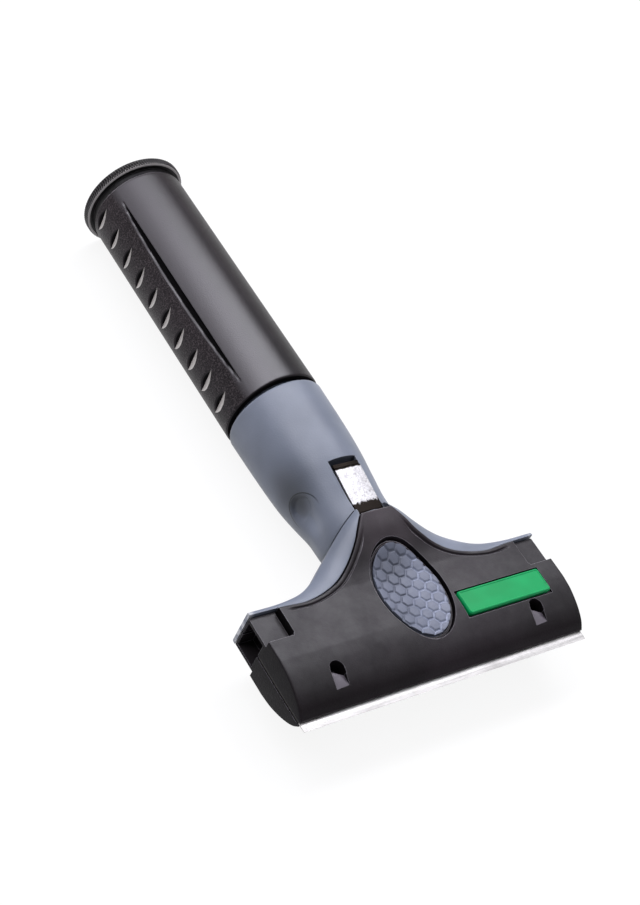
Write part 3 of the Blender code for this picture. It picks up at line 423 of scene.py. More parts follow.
# Black ABS, spark-eroded tool: a warm black that goes to soft grey where it faces the light, its edges paled partly by
# wear and partly by a painted highlight
BLACK_ABS = moulded("black moulded ABS", ("#191617", "#1e1a1c", "#252023"), 0.4, 0.08, 0.43, 0.1,
                    edge=0.35, wear_and_highlight_tone="#8a868c", wear_and_highlight_share=1.2, sheen="#f3f0ff", polish=((0, 0.4, 0.917), 0.45, 1.0, 0.72),
                    marks_and_painted_light=cover_shade_and_pale_spot)
# The same plastic on the ramps of the snap windows, painted pale as a highlight where light falls on them, and smoother
RAMP_PAINTED_LIGHT_ABS = moulded("black ABS painted pale as lit", ("#4a444c", "#524c54", "#5a545c"), 0.4, 0.03, 0.36, 0.4)
# Black glass-filled nylon on the end ring: a little duller and greyer than the covers
RING_NYLON = moulded("black glass-filled nylon", ("#131212", "#191818", "#201e1e"), 0.4, 0.05, 0.42, 0.09,
                     wear_and_highlight_tone="#7d7a7a", wear_and_highlight_share=0.8, sheen="#f3f0ff", polish=((-0.95, 0, -0.3), 0.0, 0.6, 0.9),
                     marks_and_painted_light=ring_wear_and_highlight)
# Blue-grey soft touch rubber on the button pad: matt, with a powdery sheen
PAD_TPE = moulded("blue-grey soft rubber", ("#656a78", "#707585", "#7a7f8f"), 0.35, 0.04, 0.5, 0.35,
                  corner_shading=(1.0, 0.2), marks_and_painted_light=pad_painted_shade_and_light)


def grip_rubber():
    """Black soft-touch rubber: smooth and softly shining on top, a hide-like grain on the flanks, and bare polished
    cuts where the tool steel left the notches. Painted shade blackens the creases and cuts, painted highlights pale
    the side where the fingers close and the rear mouth, and a painted reflection pales the cuts' walls."""
    made, tree, own = new_finish("black soft grip rubber")
    place, normal = own.outputs["Object"], own.outputs["Normal"]
    place_y = add(tree, "ShaderNodeSeparateXYZ", {0: place}).outputs["Y"]
    drift = add(tree, "ShaderNodeTexNoise", {"Vector": place, "Scale": per_mm(22), "Detail": 3.0, "Roughness": 0.6})
    colour = add(tree, "ShaderNodeValToRGB", {"Fac": drift})
    for element, position, tone in zip(colour.color_ramp.elements, (0.3, 0.7), ("#1a1718", "#241f21")):
        element.position, element.color = position, linear(tone)
    sides = add(tree, "ShaderNodeVectorMath", {0: normal}, operation="ABSOLUTE")
    flank = rise_along(tree, sides, (1, 0, 0), 0.74, 0.86)
    hide = add(tree, "ShaderNodeTexVoronoi", {"Vector": place, "Scale": per_mm(0.9), "Randomness": 1.0},
               feature="DISTANCE_TO_EDGE")
    speck = add(tree, "ShaderNodeTexNoise", {"Vector": place, "Scale": per_mm(0.45), "Detail": 4.0, "Roughness": 0.75})
    grain = add(tree, "ShaderNodeMath", {0: hide, 1: flank}, operation="MULTIPLY")
    grain = add(tree, "ShaderNodeMath", {0: grain, 1: speck}, operation="ADD")
    rounded = add(tree, "ShaderNodeBevel", {"Radius": 0.25 * MM}, samples=6)
    bump = add(tree, "ShaderNodeBump", {"Height": grain, "Strength": 1.0, "Distance": 0.09 * MM, "Normal": rounded})
    dust_and_groove_shading = add(tree, "ShaderNodeMapRange", {"Value": speck, "From Min": 0.48, "From Max": 0.68, "To Max": 0.55})
    dust_and_groove_shading = add(tree, "ShaderNodeMath", {0: dust_and_groove_shading, 1: flank}, operation="MULTIPLY")
    colour = add(tree, "ShaderNodeMix", {0: dust_and_groove_shading, 6: colour, 7: linear("#6a6264")}, data_type="RGBA")
    # Painted shade turns the creases and cuts, which lie below the grip's round surface, black
    sunk = add(tree, "ShaderNodeMapRange", {"Value": from_axis(tree, place), "From Min": 0.01505, "From Max": 0.01485})
    colour = add(tree, "ShaderNodeMix", {0: sunk, 6: colour, 7: linear("#050404")}, data_type="RGBA")
    # A painted highlight turns the smooth side where the fingers close grey
    clean = add(tree, "ShaderNodeMath", {0: flank, 1: sunk}, operation="MAXIMUM")
    clean = add(tree, "ShaderNodeMath", {0: 1.0, 1: clean}, operation="SUBTRACT")
    palm_highlight = rise_along(tree, normal, (-0.68, 0, 0.73), 0.8, 0.97)
    palm_highlight = add(tree, "ShaderNodeMath", {0: palm_highlight, 1: clean}, operation="MULTIPLY")
    colour = add(tree, "ShaderNodeMix", {0: palm_highlight, 6: colour, 7: linear("#4d4a4d")}, data_type="RGBA")
    # A thin painted highlight line runs round the sleeve's rear mouth
    mouth_highlight = add(tree, "ShaderNodeMath", {0: place_y, 1: 0.09118, 2: 0.00022}, operation="COMPARE")
    mouth_highlight = add(tree, "ShaderNodeMath", {0: mouth_highlight, 1: clean}, operation="MULTIPLY")
    colour = add(tree, "ShaderNodeMix", {0: mouth_highlight, 6: colour, 7: linear("#8d888c")}, data_type="RGBA")
    # A painted reflection pales the cuts' rear-facing walls when they are seen aslant; they stay dark when looked into
    rearward = rise_along(tree, normal, (0, 1, 0), 0.2, 0.35)
    inside = add(tree, "ShaderNodeMath", {0: place_y, 1: 0.0905}, operation="LESS_THAN")
    cut_face = add(tree, "ShaderNodeMath", {0: rearward, 1: inside}, operation="MULTIPLY")
    aslant = add(tree, "ShaderNodeLayerWeight", {"Blend": 0.5}).outputs["Facing"]
    aslant = add(tree, "ShaderNodeMapRange", {"Value": aslant, "From Min": 0.15, "From Max": 0.45, "To Min": 0.1,
                                              "To Max": 1.0})
    cut_face = add(tree, "ShaderNodeMath", {0: cut_face, 1: aslant}, operation="MULTIPLY")
    colour = add(tree, "ShaderNodeMix", {0: cut_face, 6: colour, 7: linear("#bdb7b2")}, data_type="RGBA")
    # The palm polishes the top, and the tool steel polished the cuts
    dull = add(tree, "ShaderNodeMapRange", {"Value": sunk, "To Min": 0.38, "To Max": 0.9})
    handled = rise_along(tree, normal, (-0.5, 0, 0.866), 0.79, 0.92, 0.12, 0.7)
    handled = add(tree, "ShaderNodeMath", {0: handled, 1: clean}, operation="MULTIPLY")
    handled = add(tree, "ShaderNodeMath", {0: handled, 1: cut_face}, operation="MAXIMUM")
    shader = add(tree, "ShaderNodeBsdfPrincipled", {
        "Base Color": colour, "Roughness": dull, "Normal": bump, "Specular IOR Level": 0.1,
        "Specular Tint": linear("#f3f0ff"), "Coat Weight": handled, "Coat Roughness": 0.34})
    add(tree, "ShaderNodeOutputMaterial", {"Surface": shader})
    return made


def steel(name, light, dark, roughness, streak, blotch, dark_band=None):
    """Bare steel: fine rolling streaks and cloudy patches of handling marks.

    A dark band is its colour, where along Y it begins and is full, where a second one behind it is full or None,
    and the size of its specks in millimetres. The first band is painted shade.
    """
    made, tree, own = new_finish(name)
    place = own.outputs["Object"]
    stretched = add(tree, "ShaderNodeMapping", {"Vector": place, "Scale": streak})
    lines = add(tree, "ShaderNodeTexNoise", {"Vector": stretched, "Scale": per_mm(0.5), "Detail": 3.0})
    cloud = add(tree, "ShaderNodeTexNoise", {"Vector": place, "Scale": per_mm(blotch), "Detail": 6.0, "Roughness": 0.7})
    mixed = add(tree, "ShaderNodeMath", {0: lines, 1: cloud}, operation="MULTIPLY")
    colour = add(tree, "ShaderNodeValToRGB", {"Fac": mixed})
    for element, position, tone in zip(colour.color_ramp.elements, (0.12, 0.3), (dark, light)):
        element.position, element.color = position, linear(tone)
    # Painted shade over a band along Y, speckled at its border; a second band behind it darkens towards a black part
    if dark_band:
        tone, start, full, rear, size = dark_band
        share = rise_along(tree, place, (0, 1, 0), start, full)
        if rear:
            tail = rise_along(tree, place, (0, 1, 0), rear - 0.8 * MM, rear)
            share = add(tree, "ShaderNodeMath", {0: share, 1: tail}, operation="MAXIMUM")
        specks = add(tree, "ShaderNodeTexNoise", {"Vector": place, "Scale": per_mm(size), "Detail": 5.0})
        share = add(tree, "ShaderNodeMath", {0: share, 1: specks}, operation="ADD")
        share = add(tree, "ShaderNodeMapRange", {"Value": share, "From Min": 0.85, "From Max": 1.05})
        colour = add(tree, "ShaderNodeMix", {0: share, 6: colour, 7: linear(tone)}, data_type="RGBA")
    rough = add(tree, "ShaderNodeMapRange", {"Value": lines, "From Min": 0.3, "From Max": 0.7,
                                             "To Min": roughness - 0.06, "To Max": roughness + 0.1})
    bump = add(tree, "ShaderNodeBump", {"Height": lines, "Strength": 0.5, "Distance": 0.01 * MM})
    shader = add(tree, "ShaderNodeBsdfPrincipled", {"Base Color": colour, "Metallic": 1.0, "Roughness": rough,
                                                    "Normal": bump})
    add(tree, "ShaderNodeOutputMaterial", {"Surface": shader})
    return made


def badge_plastic():
    """Green gloss ABS: saturated, with a clear skin that picks up the lamps."""
    made, tree, own = new_finish("green gloss ABS")
    place = own.outputs["Object"]
    drift = add(tree, "ShaderNodeTexNoise", {"Vector": place, "Scale": per_mm(12), "Detail": 2.0})
    colour = add(tree, "ShaderNodeValToRGB", {"Fac": drift})
    for element, position, tone in zip(colour.color_ramp.elements, (0.35, 0.65), ("#008f4e", "#00a05a")):
        element.position, element.color = position, linear(tone)
    fine = add(tree, "ShaderNodeTexNoise", {"Vector": place, "Scale": per_mm(0.6), "Detail": 2.0})
    rounded = add(tree, "ShaderNodeBevel", {"Radius": 0.2 * MM}, samples=6)
    bump = add(tree, "ShaderNodeBump", {"Height": fine, "Strength": 1.0, "Distance": 0.006 * MM, "Normal": rounded})
    shader = add(tree, "ShaderNodeBsdfPrincipled", {"Base Color": colour, "Roughness": 0.32,
                                                    "Specular IOR Level": 0.2, "Normal": bump})
    add(tree, "ShaderNodeOutputMaterial", {"Surface": shader})
    return made


GRIP_TPE = grip_rubber()
BADGE_ABS = badge_plastic()
# Carbon steel strip, painted dark as shade where it lies between the covers and bright on its ground edge, with
# hair-fine lines along its length
BLADE_STEEL = steel("ground carbon steel strip", "#c4c2c0", "#a19f9d", 0.42, (0.03, 1.0, 1.0), 7.0,
                    dark_band=("#33312f", -0.0937, -0.0929, None, 1.5))
# Bright tumbled spring steel of the catch: white, with faint grey mottling, painted shade at its front end, and dark at
# its rear end by the black slide
LEAF_STEEL = steel("tumbled spring steel", "#cccbcd", "#979496", 0.42, (1.0, 1.0, 1.0), 1.4,
                   dark_band=("#231f1c", -0.0399, -0.0424, -0.0297, 0.9))
# Zinc plated steel of the springs, plate and screws: a cooler, darker grey
PLATED_STEEL = steel("zinc plated steel", "#a9abae", "#7f8185", 0.36, (1.0, 0.2, 1.0), 3.0)


# ---- Covers of the head ----


# The covers' rear edge as (x, y) from the middle to the wing's end
REAR_OUTLINE = [(0.0, COVER_REAR_Y), *reversed(flare(*COVER_WING, 180))]


def cover_rear(x):
    """The covers' rear edge at a distance x from the middle, and its slope there."""
    x = min(abs(x), HEAD_HALF)
    for (x0, y0), (x1, y1) in zip(REAR_OUTLINE, REAR_OUTLINE[1:]):
        if x <= x1:
            return y0 + (y1 - y0) * (x - x0) / (x1 - x0), (y1 - y0) / (x1 - x0)
    return REAR_OUTLINE[-1][1], 0.0


def cover_skin(side):
    """A cover's outer form: a fine sheet laid over its profile, rounded at its rim and closed below."""
    rim = 0.5
    # A shallow groove follows the rear edge and fades out at its ends
    groove_at, groove_half, groove_depth = 1.45, 0.45, 0.4
    groove_start, groove_end, fade = 6.5, 39, 2
    rolled = [rim * (1 - math.cos(math.pi / 2 * k / 5)) for k in range(6)]
    nose_x = HEAD_HALF * COVER_FLARE[-1][0]
    xs = [HEAD_HALF - d for d in rolled[:-1]]
    xs += [HEAD_HALF - rim - (HEAD_HALF - rim - nose_x) * k / 62 for k in range(63)]
    xs += [nose_x * (1 - k / 6) for k in range(1, 7)]
    xs = [-x for x in xs] + list(reversed(xs[:-1]))
    # Rows spread over the profile as shares of its length, then by their distance from the rear edge
    shares = [(k / 76) ** 1.2 for k in range(77)]
    coarse_gap = 2.74
    gaps = [2.6 - 0.14 * k for k in range(16)] + list(reversed(rolled[:-1]))

    def rolled_off(gap):
        return rim - math.sqrt(max(rim**2 - max(rim - gap, 0) ** 2, 0))

    shape = bmesh.new()
    rows = len(shares) + len(gaps)
    bmesh.ops.create_grid(shape, x_segments=len(xs) - 1, y_segments=rows - 1, size=0.5)
    for v in shape.verts:
        x = xs[round((v.co.x + 0.5) * (len(xs) - 1))]
        row = round((v.co.y + 0.5) * (rows - 1))
        rear, slope = cover_rear(x)
        lean = min(math.hypot(1, slope), 2.5)
        if row < len(shares):
            gap = coarse_gap
            y = LIP_Y + (rear - gap * lean - LIP_Y) * shares[row]
        else:
            gap = gaps[row - len(shares)]
            y = rear - gap * lean
        drop = min(rolled_off(gap) + rolled_off(HEAD_HALF - abs(x)), rim)
        if abs(gap - groove_at) < groove_half and groove_start < abs(x) < groove_end:
            fading = min(abs(x) - groove_start, groove_end - abs(x), fade) / fade
            drop += groove_depth * math.cos(math.pi / 2 * (gap - groove_at) / groove_half) * fading
        v.co = (x, y, cover_height(y) - drop)
    edge = [e for e in shape.edges if e.is_boundary]
    pulled = bmesh.ops.extrude_edge_only(shape, edges=edge)
    for g in pulled["geom"]:
        if isinstance(g, bmesh.types.BMVert):
            g.co.z = SPLIT_Z
    bmesh.ops.holes_fill(shape, edges=[e for e in shape.edges if e.is_boundary], sides=0)
    bmesh.ops.scale(shape, vec=(1, 1, side), verts=shape.verts)
    bmesh.ops.recalc_face_normals(shape, faces=shape.faces)
    return shape


def head_rooms(side):
    """What both covers leave free: the web, the neck's nose, the end steps with their slits and end hollows."""
    far_y, far_x, far_z = 60.0, 55.0, 20.0
    web_low, web_high = sorted((-side * 4.0, side * 2.8))
    rooms = [block((-44.5, 24.0, web_low), (44.5, far_y, web_high))]
    rear = COVER_REAR_Y + 4
    stations = [rear - (rear - NOSE_Y) * k / 24 for k in range(25)]
    nose = [(0, rear)] + [(neck_radius(y) + FIT, y) for y in stations]
    nose += [(neck_radius(NOSE_Y) + FIT, NOSE_Y - FIT), (0, NOSE_Y - FIT)]
    rooms.append(turned(nose, 96))
    slit = (41.5, 42.1, STEP_Y + 0.6, 4.7)
    step = (41.9, far_x, STEP_Y, 5.6)
    hollow_x, hollow_top = 45.2, 4.7
    for end in (-1, 1):
        for x0, x1, y0, z0 in (step, slit):
            xs, zs = sorted((end * x0, end * x1)), sorted((side * z0, side * far_z))
            rooms.append(block((xs[0], y0, zs[0]), (xs[1], far_y, zs[1])))
        xs, zs = sorted((end * hollow_x, end * far_x)), sorted((side * -4.0, side * hollow_top))
        rooms.append(block((xs[0], STEP_Y + 1.0, zs[0]), (xs[1], WING_Y - 0.7, zs[1])))
    return rooms


def window(end):
    """A snap window: a deep arch at its rear, and a nearly level ramp that runs out at the nose."""
    x, half, arch_y, front_y = end * WINDOW_X, WINDOW_HALF, 11.1, 5.6
    arch = [(x + half * math.cos(math.pi * k / 24), arch_y + half * math.sin(math.pi * k / 24)) for k in range(25)]
    ramp = raised(arch + [(x - half, front_y), (x + half, front_y)], 4.0, 14.0)
    for v in ramp.verts:
        if v.co.z < 5:
            v.co.x = x + 0.2 + (v.co.x - x - 0.2) * 0.86
            v.co.z = 4.65 + 0.03 * (v.co.x - x)
    deep = raised([(x + half, arch_y - 1.6), *arch[:20]], 2.4, 8.0)
    return [ramp, deep]


def make_cover_top():
    """The top cover, with the button's well, the windows, the badge's pocket and the screws' bores."""
    shape = cover_skin(1)
    rooms = head_rooms(1)
    rooms.append(oval(*WELL, (0, BUTTON_Y), -4, 20))
    rooms.append(oval(*FOOT_ROOM, (0, BUTTON_Y), -4, 3.6))
    rooms += window(-1) + window(1)
    (x0, y0), (x1, y1) = BADGE_LOW, BADGE_HIGH
    margin = 0.5
    rooms.append(block((x0 - margin, y0 - margin, HALF_THICKNESS + 0.6 - 1.8), (x1 + margin, y1 + margin, 12.0)))
    rooms += [oval(SCREW_BORE, SCREW_BORE, (end * SCREW_X, SCREW_Y), -4, 5.0, 32) for end in (-1, 1)]
    shape = combined(shape, rooms)
    # The ramps in the windows take their own finish, painted pale as a highlight
    for face in shape.faces:
        x, y, z = face.calc_center_median()
        in_window = abs(abs(x) - WINDOW_X) < WINDOW_HALF and 5.5 < y < 13.4
        if in_window and 4.0 < z < cover_height(y) - 0.02 and face.normal.z > 0.8:
            face.material_index = 1
    cover = piece("top_cover", shape, BLACK_ABS, "body", "black_plastic", "cover_top")
    cover.data.materials.append(RAMP_PAINTED_LIGHT_ABS)
    return cover


def make_cover_bottom():
    """The bottom cover, with room for the clamp plate, the springs' pockets and the screws' bores."""
    shape = cover_skin(-1)
    rooms = head_rooms(-1)
    plate_room = [(16.3, 9.54), (16.3, 22.3), (8.8, 22.3), (8.8, 35.792)]
    rooms.append(raised(mirrored(plate_room), -3.9, 4.0))
    spring_room, head_room = 2.75, 2.7
    for end in (-1, 1):
        rooms.append(oval(spring_room, spring_room, (end * SPRING_X, SPRING_Y), -6.2, 0.0, 48))
        rooms.append(oval(head_room, head_room, (end * SCREW_X, SCREW_Y), -12.0, -5.1, 64))
        rooms.append(oval(SCREW_BORE, SCREW_BORE, (end * SCREW_X, SCREW_Y), -12.0, 4.0, 32))
    return piece("bottom_cover", combined(shape, rooms), BLACK_ABS, "body", "black_plastic", "cover_bottom")


# ---- Handle body: neck, wing rim, web and core in one moulding ----


def rim_wing(side):
    """One flared wing of the rim, its rounded top falling away from the covers."""
    count = 110
    inner = moved_out(flare(*COVER_WING, count), FIT)
    outer = flare(*RIM_WING, count)
    across = [(0.0, 0.1), (0.02, 0.02), (0.05, 0.0)]
    across += [(math.sin(math.pi / 2 * k / 14), 1 - math.cos(math.pi / 2 * k / 14)) for k in range(1, 15)]
    loop = [(u, v, 1) for u, v in across] + [(u, v, -1) for u, v in reversed(across)]
    shape = bmesh.new()
    bmesh.ops.create_grid(shape, x_segments=count - 1, y_segments=len(loop), size=0.5)
    for v in shape.verts:
        i = round((v.co.x + 0.5) * (count - 1))
        u, fall, up = loop[round((v.co.y + 0.5) * len(loop)) % len(loop)]
        (x0, y0), (x1, y1) = inner[i], outer[i]
        drop = 0.45 * math.dist((x0, y0), (x1, y1)) * fall
        top = cover_height(y0)
        z = top - 0.9 - drop if up > 0 else 1.9 - top + drop
        v.co = (side * (x0 + (x1 - x0) * u), y0 + (y1 - y0) * u, z)
    bmesh.ops.remove_doubles(shape, verts=shape.verts, dist=0.0005)
    bmesh.ops.holes_fill(shape, edges=[e for e in shape.edges if e.is_boundary], sides=0)
    bmesh.ops.recalc_face_normals(shape, faces=shape.faces)
    return shape


def web_plate():
    """The flat web between the covers, which joins the wings to the neck's nose."""
    inner = flare(*COVER_WING, 40)
    outer = flare(*RIM_WING, 40)
    half = [((a[0] + b[0]) / 2, (a[1] + b[1]) / 2) for a, b in zip(inner, outer)]
    web_half = 44.2
    half = [(web_half, 24.3), (web_half, half[0][1])] + [point for point in half if point[0] < web_half]
    return raised(mirrored(half), -2.5, 2.5)


def thumb_dent(back, across):
    """Depth of the thumb dent: a bowl with a crisp round edge at its rear, fading out towards the blade."""
    rear_reach, front_reach, half_width, deepest = 5.9, 15.0, 6.0, 1.9
    reach = math.hypot(back / (rear_reach if back > 0 else front_reach), across / half_width)
    turn = math.atan2(abs(across), back)
    soft = 0.16 + 0.84 * min(max((turn - 0.9) / 1.0, 0.0), 1.0)
    share = min(max((1 - reach) / soft, 0.0), 1.0)
    bowl = deepest * share * share * (3 - 2 * share) * (1 - 0.35 * min(reach, 1.0))
    # Broad hollows lie beside the dent, in front of its middle and behind it
    waist = 0.9 * math.exp(-((back + 5) ** 2 + (across - 6) ** 2) / 50)
    return bowl + waist + 0.8 * math.exp(-((back - 7) ** 2 + across**2) / 70)


def undercut(side):
    """A fine groove round the neck where the rim's top meets it."""
    line = list(reversed(flare(*RIM_WING, 200)))
    shares = [x / neck_radius(y) for x, y in line]
    start = math.asin(shares[0])
    path = []
    for k in range(41):
        turn = start + (math.pi - 2 * start) * k / 40
        i = next((i for i in range(1, len(line)) if shares[i] >= math.sin(turn)), 1)
        t = (math.sin(turn) - shares[i - 1]) / (shares[i] - shares[i - 1])
        x, y = (a + (b - a) * t for a, b in zip(line[i - 1], line[i]))
        path.append(Vector((x, y, neck_radius(y) * math.cos(turn))))
    places = []
    for k, point in enumerate(path):
        run = path[min(k + 1, len(path) - 1)] - path[max(k - 1, 0)]
        places.append(Matrix.Translation(point) @ run.to_track_quat("Z", "Y").to_matrix().to_4x4())
    shape = bmesh.new()
    bmesh.ops.create_circle(shape, cap_ends=True, segments=8, radius=0.34, matrix=places[0])
    ring = shape.edges[:]
    for last, here in zip(places, places[1:]):
        pulled = bmesh.ops.extrude_edge_only(shape, edges=ring)["geom"]
        verts = [g for g in pulled if isinstance(g, bmesh.types.BMVert)]
        ring = [g for g in pulled if isinstance(g, bmesh.types.BMEdge) and all(v in verts for v in g.verts)]
        bmesh.ops.transform(shape, matrix=here @ last.inverted(), verts=verts)
    bmesh.ops.holes_fill(shape, edges=[e for e in shape.edges if e.is_boundary], sides=0)
    bmesh.ops.scale(shape, vec=(side, 1, 1), verts=shape.verts)
    bmesh.ops.recalc_face_normals(shape, faces=shape.faces)
    return shape


def make_handle():
    """The handle body: the turned neck and core with the pole socket, joined to the rim's wings and the web."""
    dent_y, dent_turn = 62.1, 82
    stations = [SEAM_Y - 0.5 - (SEAM_Y - 0.5 - NOSE_Y) * k / 130 for k in range(131)]
    core = 13
    profile = [(0, SLOT_FRONT_Y), (9.6, SLOT_FRONT_Y), (10.9, REAR_Y - 1.2), (11.3, REAR_Y - 0.6)]
    profile += [(11.9, REAR_Y - FIT), (12.8, REAR_Y - FIT), (core, REAR_Y - 0.5), (core, SEAM_Y)]
    profile += [(15.0, SEAM_Y), (15.3, SEAM_Y - 0.12)]
    profile += [(neck_radius(y), y) for y in stations] + [(0, NOSE_Y)]
    shape = turned(profile, 192)
    for v in shape.verts:
        radius = math.hypot(v.co.x, v.co.z)
        if radius < neck_radius(v.co.y) - 0.1 or v.co.y > SEAM_Y - 1:
            continue
        around = abs(math.degrees(math.atan2(v.co.x, v.co.z)))
        press_in(v, thumb_dent(v.co.y - dent_y, math.radians(around - dent_turn) * radius))
    shape = combined(shape, [rim_wing(-1), rim_wing(1), web_plate()], "UNION")
    rooms = [undercut(-1), undercut(1)]
    rooms.append(block((-SLOT_HALF, SLOT_FRONT_Y, 0), (SLOT_HALF, SLOT_REAR_Y, 25)))
    rooms.append(oval(*FOOT_ROOM, (0, BUTTON_Y), -3.3, 3.3))
    rooms += [oval(SCREW_BORE, SCREW_BORE, (end * SCREW_X, SCREW_Y), -4, 4, 32) for end in (-1, 1)]
    shape = combined(shape, rooms)
    return piece("handle_moulding", shape, GREY_ABS, "body", "grey_plastic", "handle_body")


# ---- Grip and end ring ----


def make_grip():
    """The grip sleeve: a slightly tapered tube with a long crease and ten notches on each side."""
    front_radius, rear_radius, edge = 15.35, 15.2, 0.7
    taper, length = 0.15, 87.3
    rows = [GRIP_FRONT_Y + edge + 85.9 * k / 150 for k in range(151)]
    quarter = [math.pi / 2 * k / 5 for k in range(5)]
    round_off = [(edge * (1 - math.sin(turn)), edge * (1 - math.cos(turn))) for turn in quarter]
    profile = [(SLEEVE_BORE, GRIP_FRONT_Y)]
    profile += [(front_radius - a, GRIP_FRONT_Y + b) for a, b in round_off]
    profile += [(front_radius - taper * (y - GRIP_FRONT_Y) / length, y) for y in rows]
    profile += [(rear_radius - a, GRIP_REAR_Y - b) for a, b in reversed(round_off)]
    profile += [(SLEEVE_BORE, GRIP_REAR_Y)]
    shape = turned(profile, 320)
    middle, crease_half = (GRIP_FRONT_Y + GRIP_REAR_Y) / 2, 37.5
    crease_turn, swell = 50.6, 1.1
    for v in shape.verts:
        lens = 1 - ((v.co.y - middle) / crease_half) ** 2
        if math.hypot(v.co.x, v.co.z) < 14 or lens <= 0:
            continue
        below = (abs(math.degrees(math.atan2(v.co.x, v.co.z))) - crease_turn) * math.radians(15.3)
        width = 0.4 + 1.5 * lens
        if 0 < below < width:
            press_in(v, 1.0 * lens**0.5 * (1 - max(below - 0.6 * width, 0) / (0.4 * width)))
        elif width <= below < width + swell:
            press_in(v, -0.15 * lens * math.sin(math.pi * (below - width) / swell))
    first, pitch = 6.7, 8.56
    notches = bmesh.new()
    for side in (-1, 1):
        for k in range(10):
            at = Matrix.Translation((side * 15.3, GRIP_FRONT_Y + first + pitch * k, 0))
            slanted = Matrix(((1, 0, 0, 0), (-0.7 * side, 1, 0, 0), (0, 0, 1, 0), (0, 0, 0, 1)))
            spindle = at @ slanted @ Matrix.Diagonal((1.05, 1.8, 6.3, 1.0))
            bmesh.ops.create_uvsphere(notches, u_segments=4, v_segments=24, radius=1.0, matrix=spindle)
    return piece("grip", combined(shape, [notches]), GRIP_TPE, "body", "soft_grip", "grip_sleeve", sharp=22)


def make_ring():
    """The end ring: a plain neck, then a rib whose outer face is knurled with fine teeth."""
    teeth = 120
    outer, neck = 16.7, 14.4
    rib = RING_Y + 1.8
    profile = [(SLEEVE_BORE, RING_Y), (neck, RING_Y), (neck, rib), (15.9, rib), (16.2, rib + 0.12), (16.4, rib + 0.3)]
    profile += [(outer, rib + 0.5), (outer, rib + 1.3), (outer, REAR_Y - 0.5), (16.55, REAR_Y - 0.25)]
    profile += [(16.2, REAR_Y), (15.2, REAR_Y), (14.9, REAR_Y - 0.25), (13.7, REAR_Y - 0.25)]
    profile += [(SLEEVE_BORE, REAR_Y - 0.1)]
    shape = turned(profile, teeth * 4)
    for v in shape.verts:
        radius = math.hypot(v.co.x, v.co.z)
        if radius > outer - 0.2 and rib + 0.25 < v.co.y < REAR_Y - 0.2:
            turn = math.atan2(v.co.x, v.co.z) / math.tau * teeth
            press_in(v, 0.5 * (1 - abs(2 * (turn % 1) - 1)))
    return piece("knurled_ring", shape, RING_NYLON, "body", "black_plastic", "end_ring")


# ---- Button ----


def lid(half_x, half_y, rings, steps, top, bottom):
    """A solid oval round the button's middle, whose top and bottom heights are given for each (x, y, share)."""
    shape = bmesh.new()
    line = [shape.verts.new((k / rings, 0, 0)) for k in range(rings + 1)]
    edges = [shape.edges.new(pair) for pair in zip(line, line[1:])]
    bmesh.ops.spin(shape, geom=line + edges, axis=(0, 0, 1), cent=(0, 0, 0), angle=math.tau, steps=steps,
                   use_merge=True)
    bmesh.ops.remove_doubles(shape, verts=shape.verts, dist=0.00001)
    pulled = bmesh.ops.extrude_face_region(shape, geom=shape.faces[:])
    upper = {g for g in pulled["geom"] if isinstance(g, bmesh.types.BMVert)}
    for v in shape.verts:
        x, y, share = v.co.x * half_x, v.co.y * half_y, v.co.length
        v.co = (x, BUTTON_Y + y, top(x, y, share) if v in upper else bottom(x, y, share))
    bmesh.ops.recalc_face_normals(shape, faces=shape.faces)
    return shape


def below_skin(distance):
    """A height that stays a distance below the top cover's."""
    return lambda x, y, share: cover_height(BUTTON_Y + y) - distance


def level(z):
    """A height that is the same all over."""
    return lambda x, y, share: z


def make_button_shell():
    """The button's rigid shell: a rim round the pad's pocket, a foot that holds it in, and two legs."""
    foot_low, foot_top = 2.4, 3.3
    shape = lid(10.8, 15.5, 24, 144, below_skin(1.2), level(foot_low))
    pocket = lid(10.2, 14.9, 24, 144, level(20.0), below_skin(2.3))
    shape = combined(shape, [pocket])
    legs = [oval(1.6, 1.6, (end * 5.5, 30.992), -0.2, foot_top, 32) for end in (-1, 1)]
    shape = combined(shape, [oval(12.1, 16.8, (0, BUTTON_Y), foot_low, foot_top), *legs], "UNION")
    return piece("button_shell_moulding", shape, BLACK_ABS, "button", "black_plastic", "button_shell")


def hexagon_edge(x, y, pitch):
    """Distance from a point to the border of its cell in a hexagon pattern, in cells along Y."""
    near = []
    step_x = pitch * math.sqrt(3) / 2
    column = round(x / step_x)
    for c in (column - 1, column, column + 1):
        shift = pitch / 2 if c % 2 else 0.0
        row = round((y - shift) / pitch)
        near += [(c * step_x, r * pitch + shift) for r in (row - 1, row, row + 1)]
    near.sort(key=lambda cell: math.dist((x, y), cell))
    d0, d1 = (math.dist((x, y), cell) for cell in near[:2])
    return (d1**2 - d0**2) / (2 * math.dist(near[0], near[1]))


def make_button_pad():
    """The pad: a dished oval of soft rubber set with raised hexagons."""
    pitch, groove, raise_by = 3.75, 0.3, 0.36

    def surface(x, y, share):
        away = hexagon_edge(x - 0.6, y + 0.5, pitch)
        t = min(max((away - groove * 0.5) / 0.3, 0), 1)
        tile = raise_by * t * t * (3 - 2 * t) + 0.2 * min(away / (pitch / 2), 1) ** 0.8 - 0.08
        return cover_height(BUTTON_Y + y) - 0.4 - raise_by + tile - 0.75 * (1 - min(share, 1) ** 2)

    shape = lid(9.9, 14.6, 96, 288, surface, below_skin(1.95))
    return piece("hexagon_pad", shape, PAD_TPE, "button", "soft_pad", "button_pad")


# ---- Badge plate, bare ----


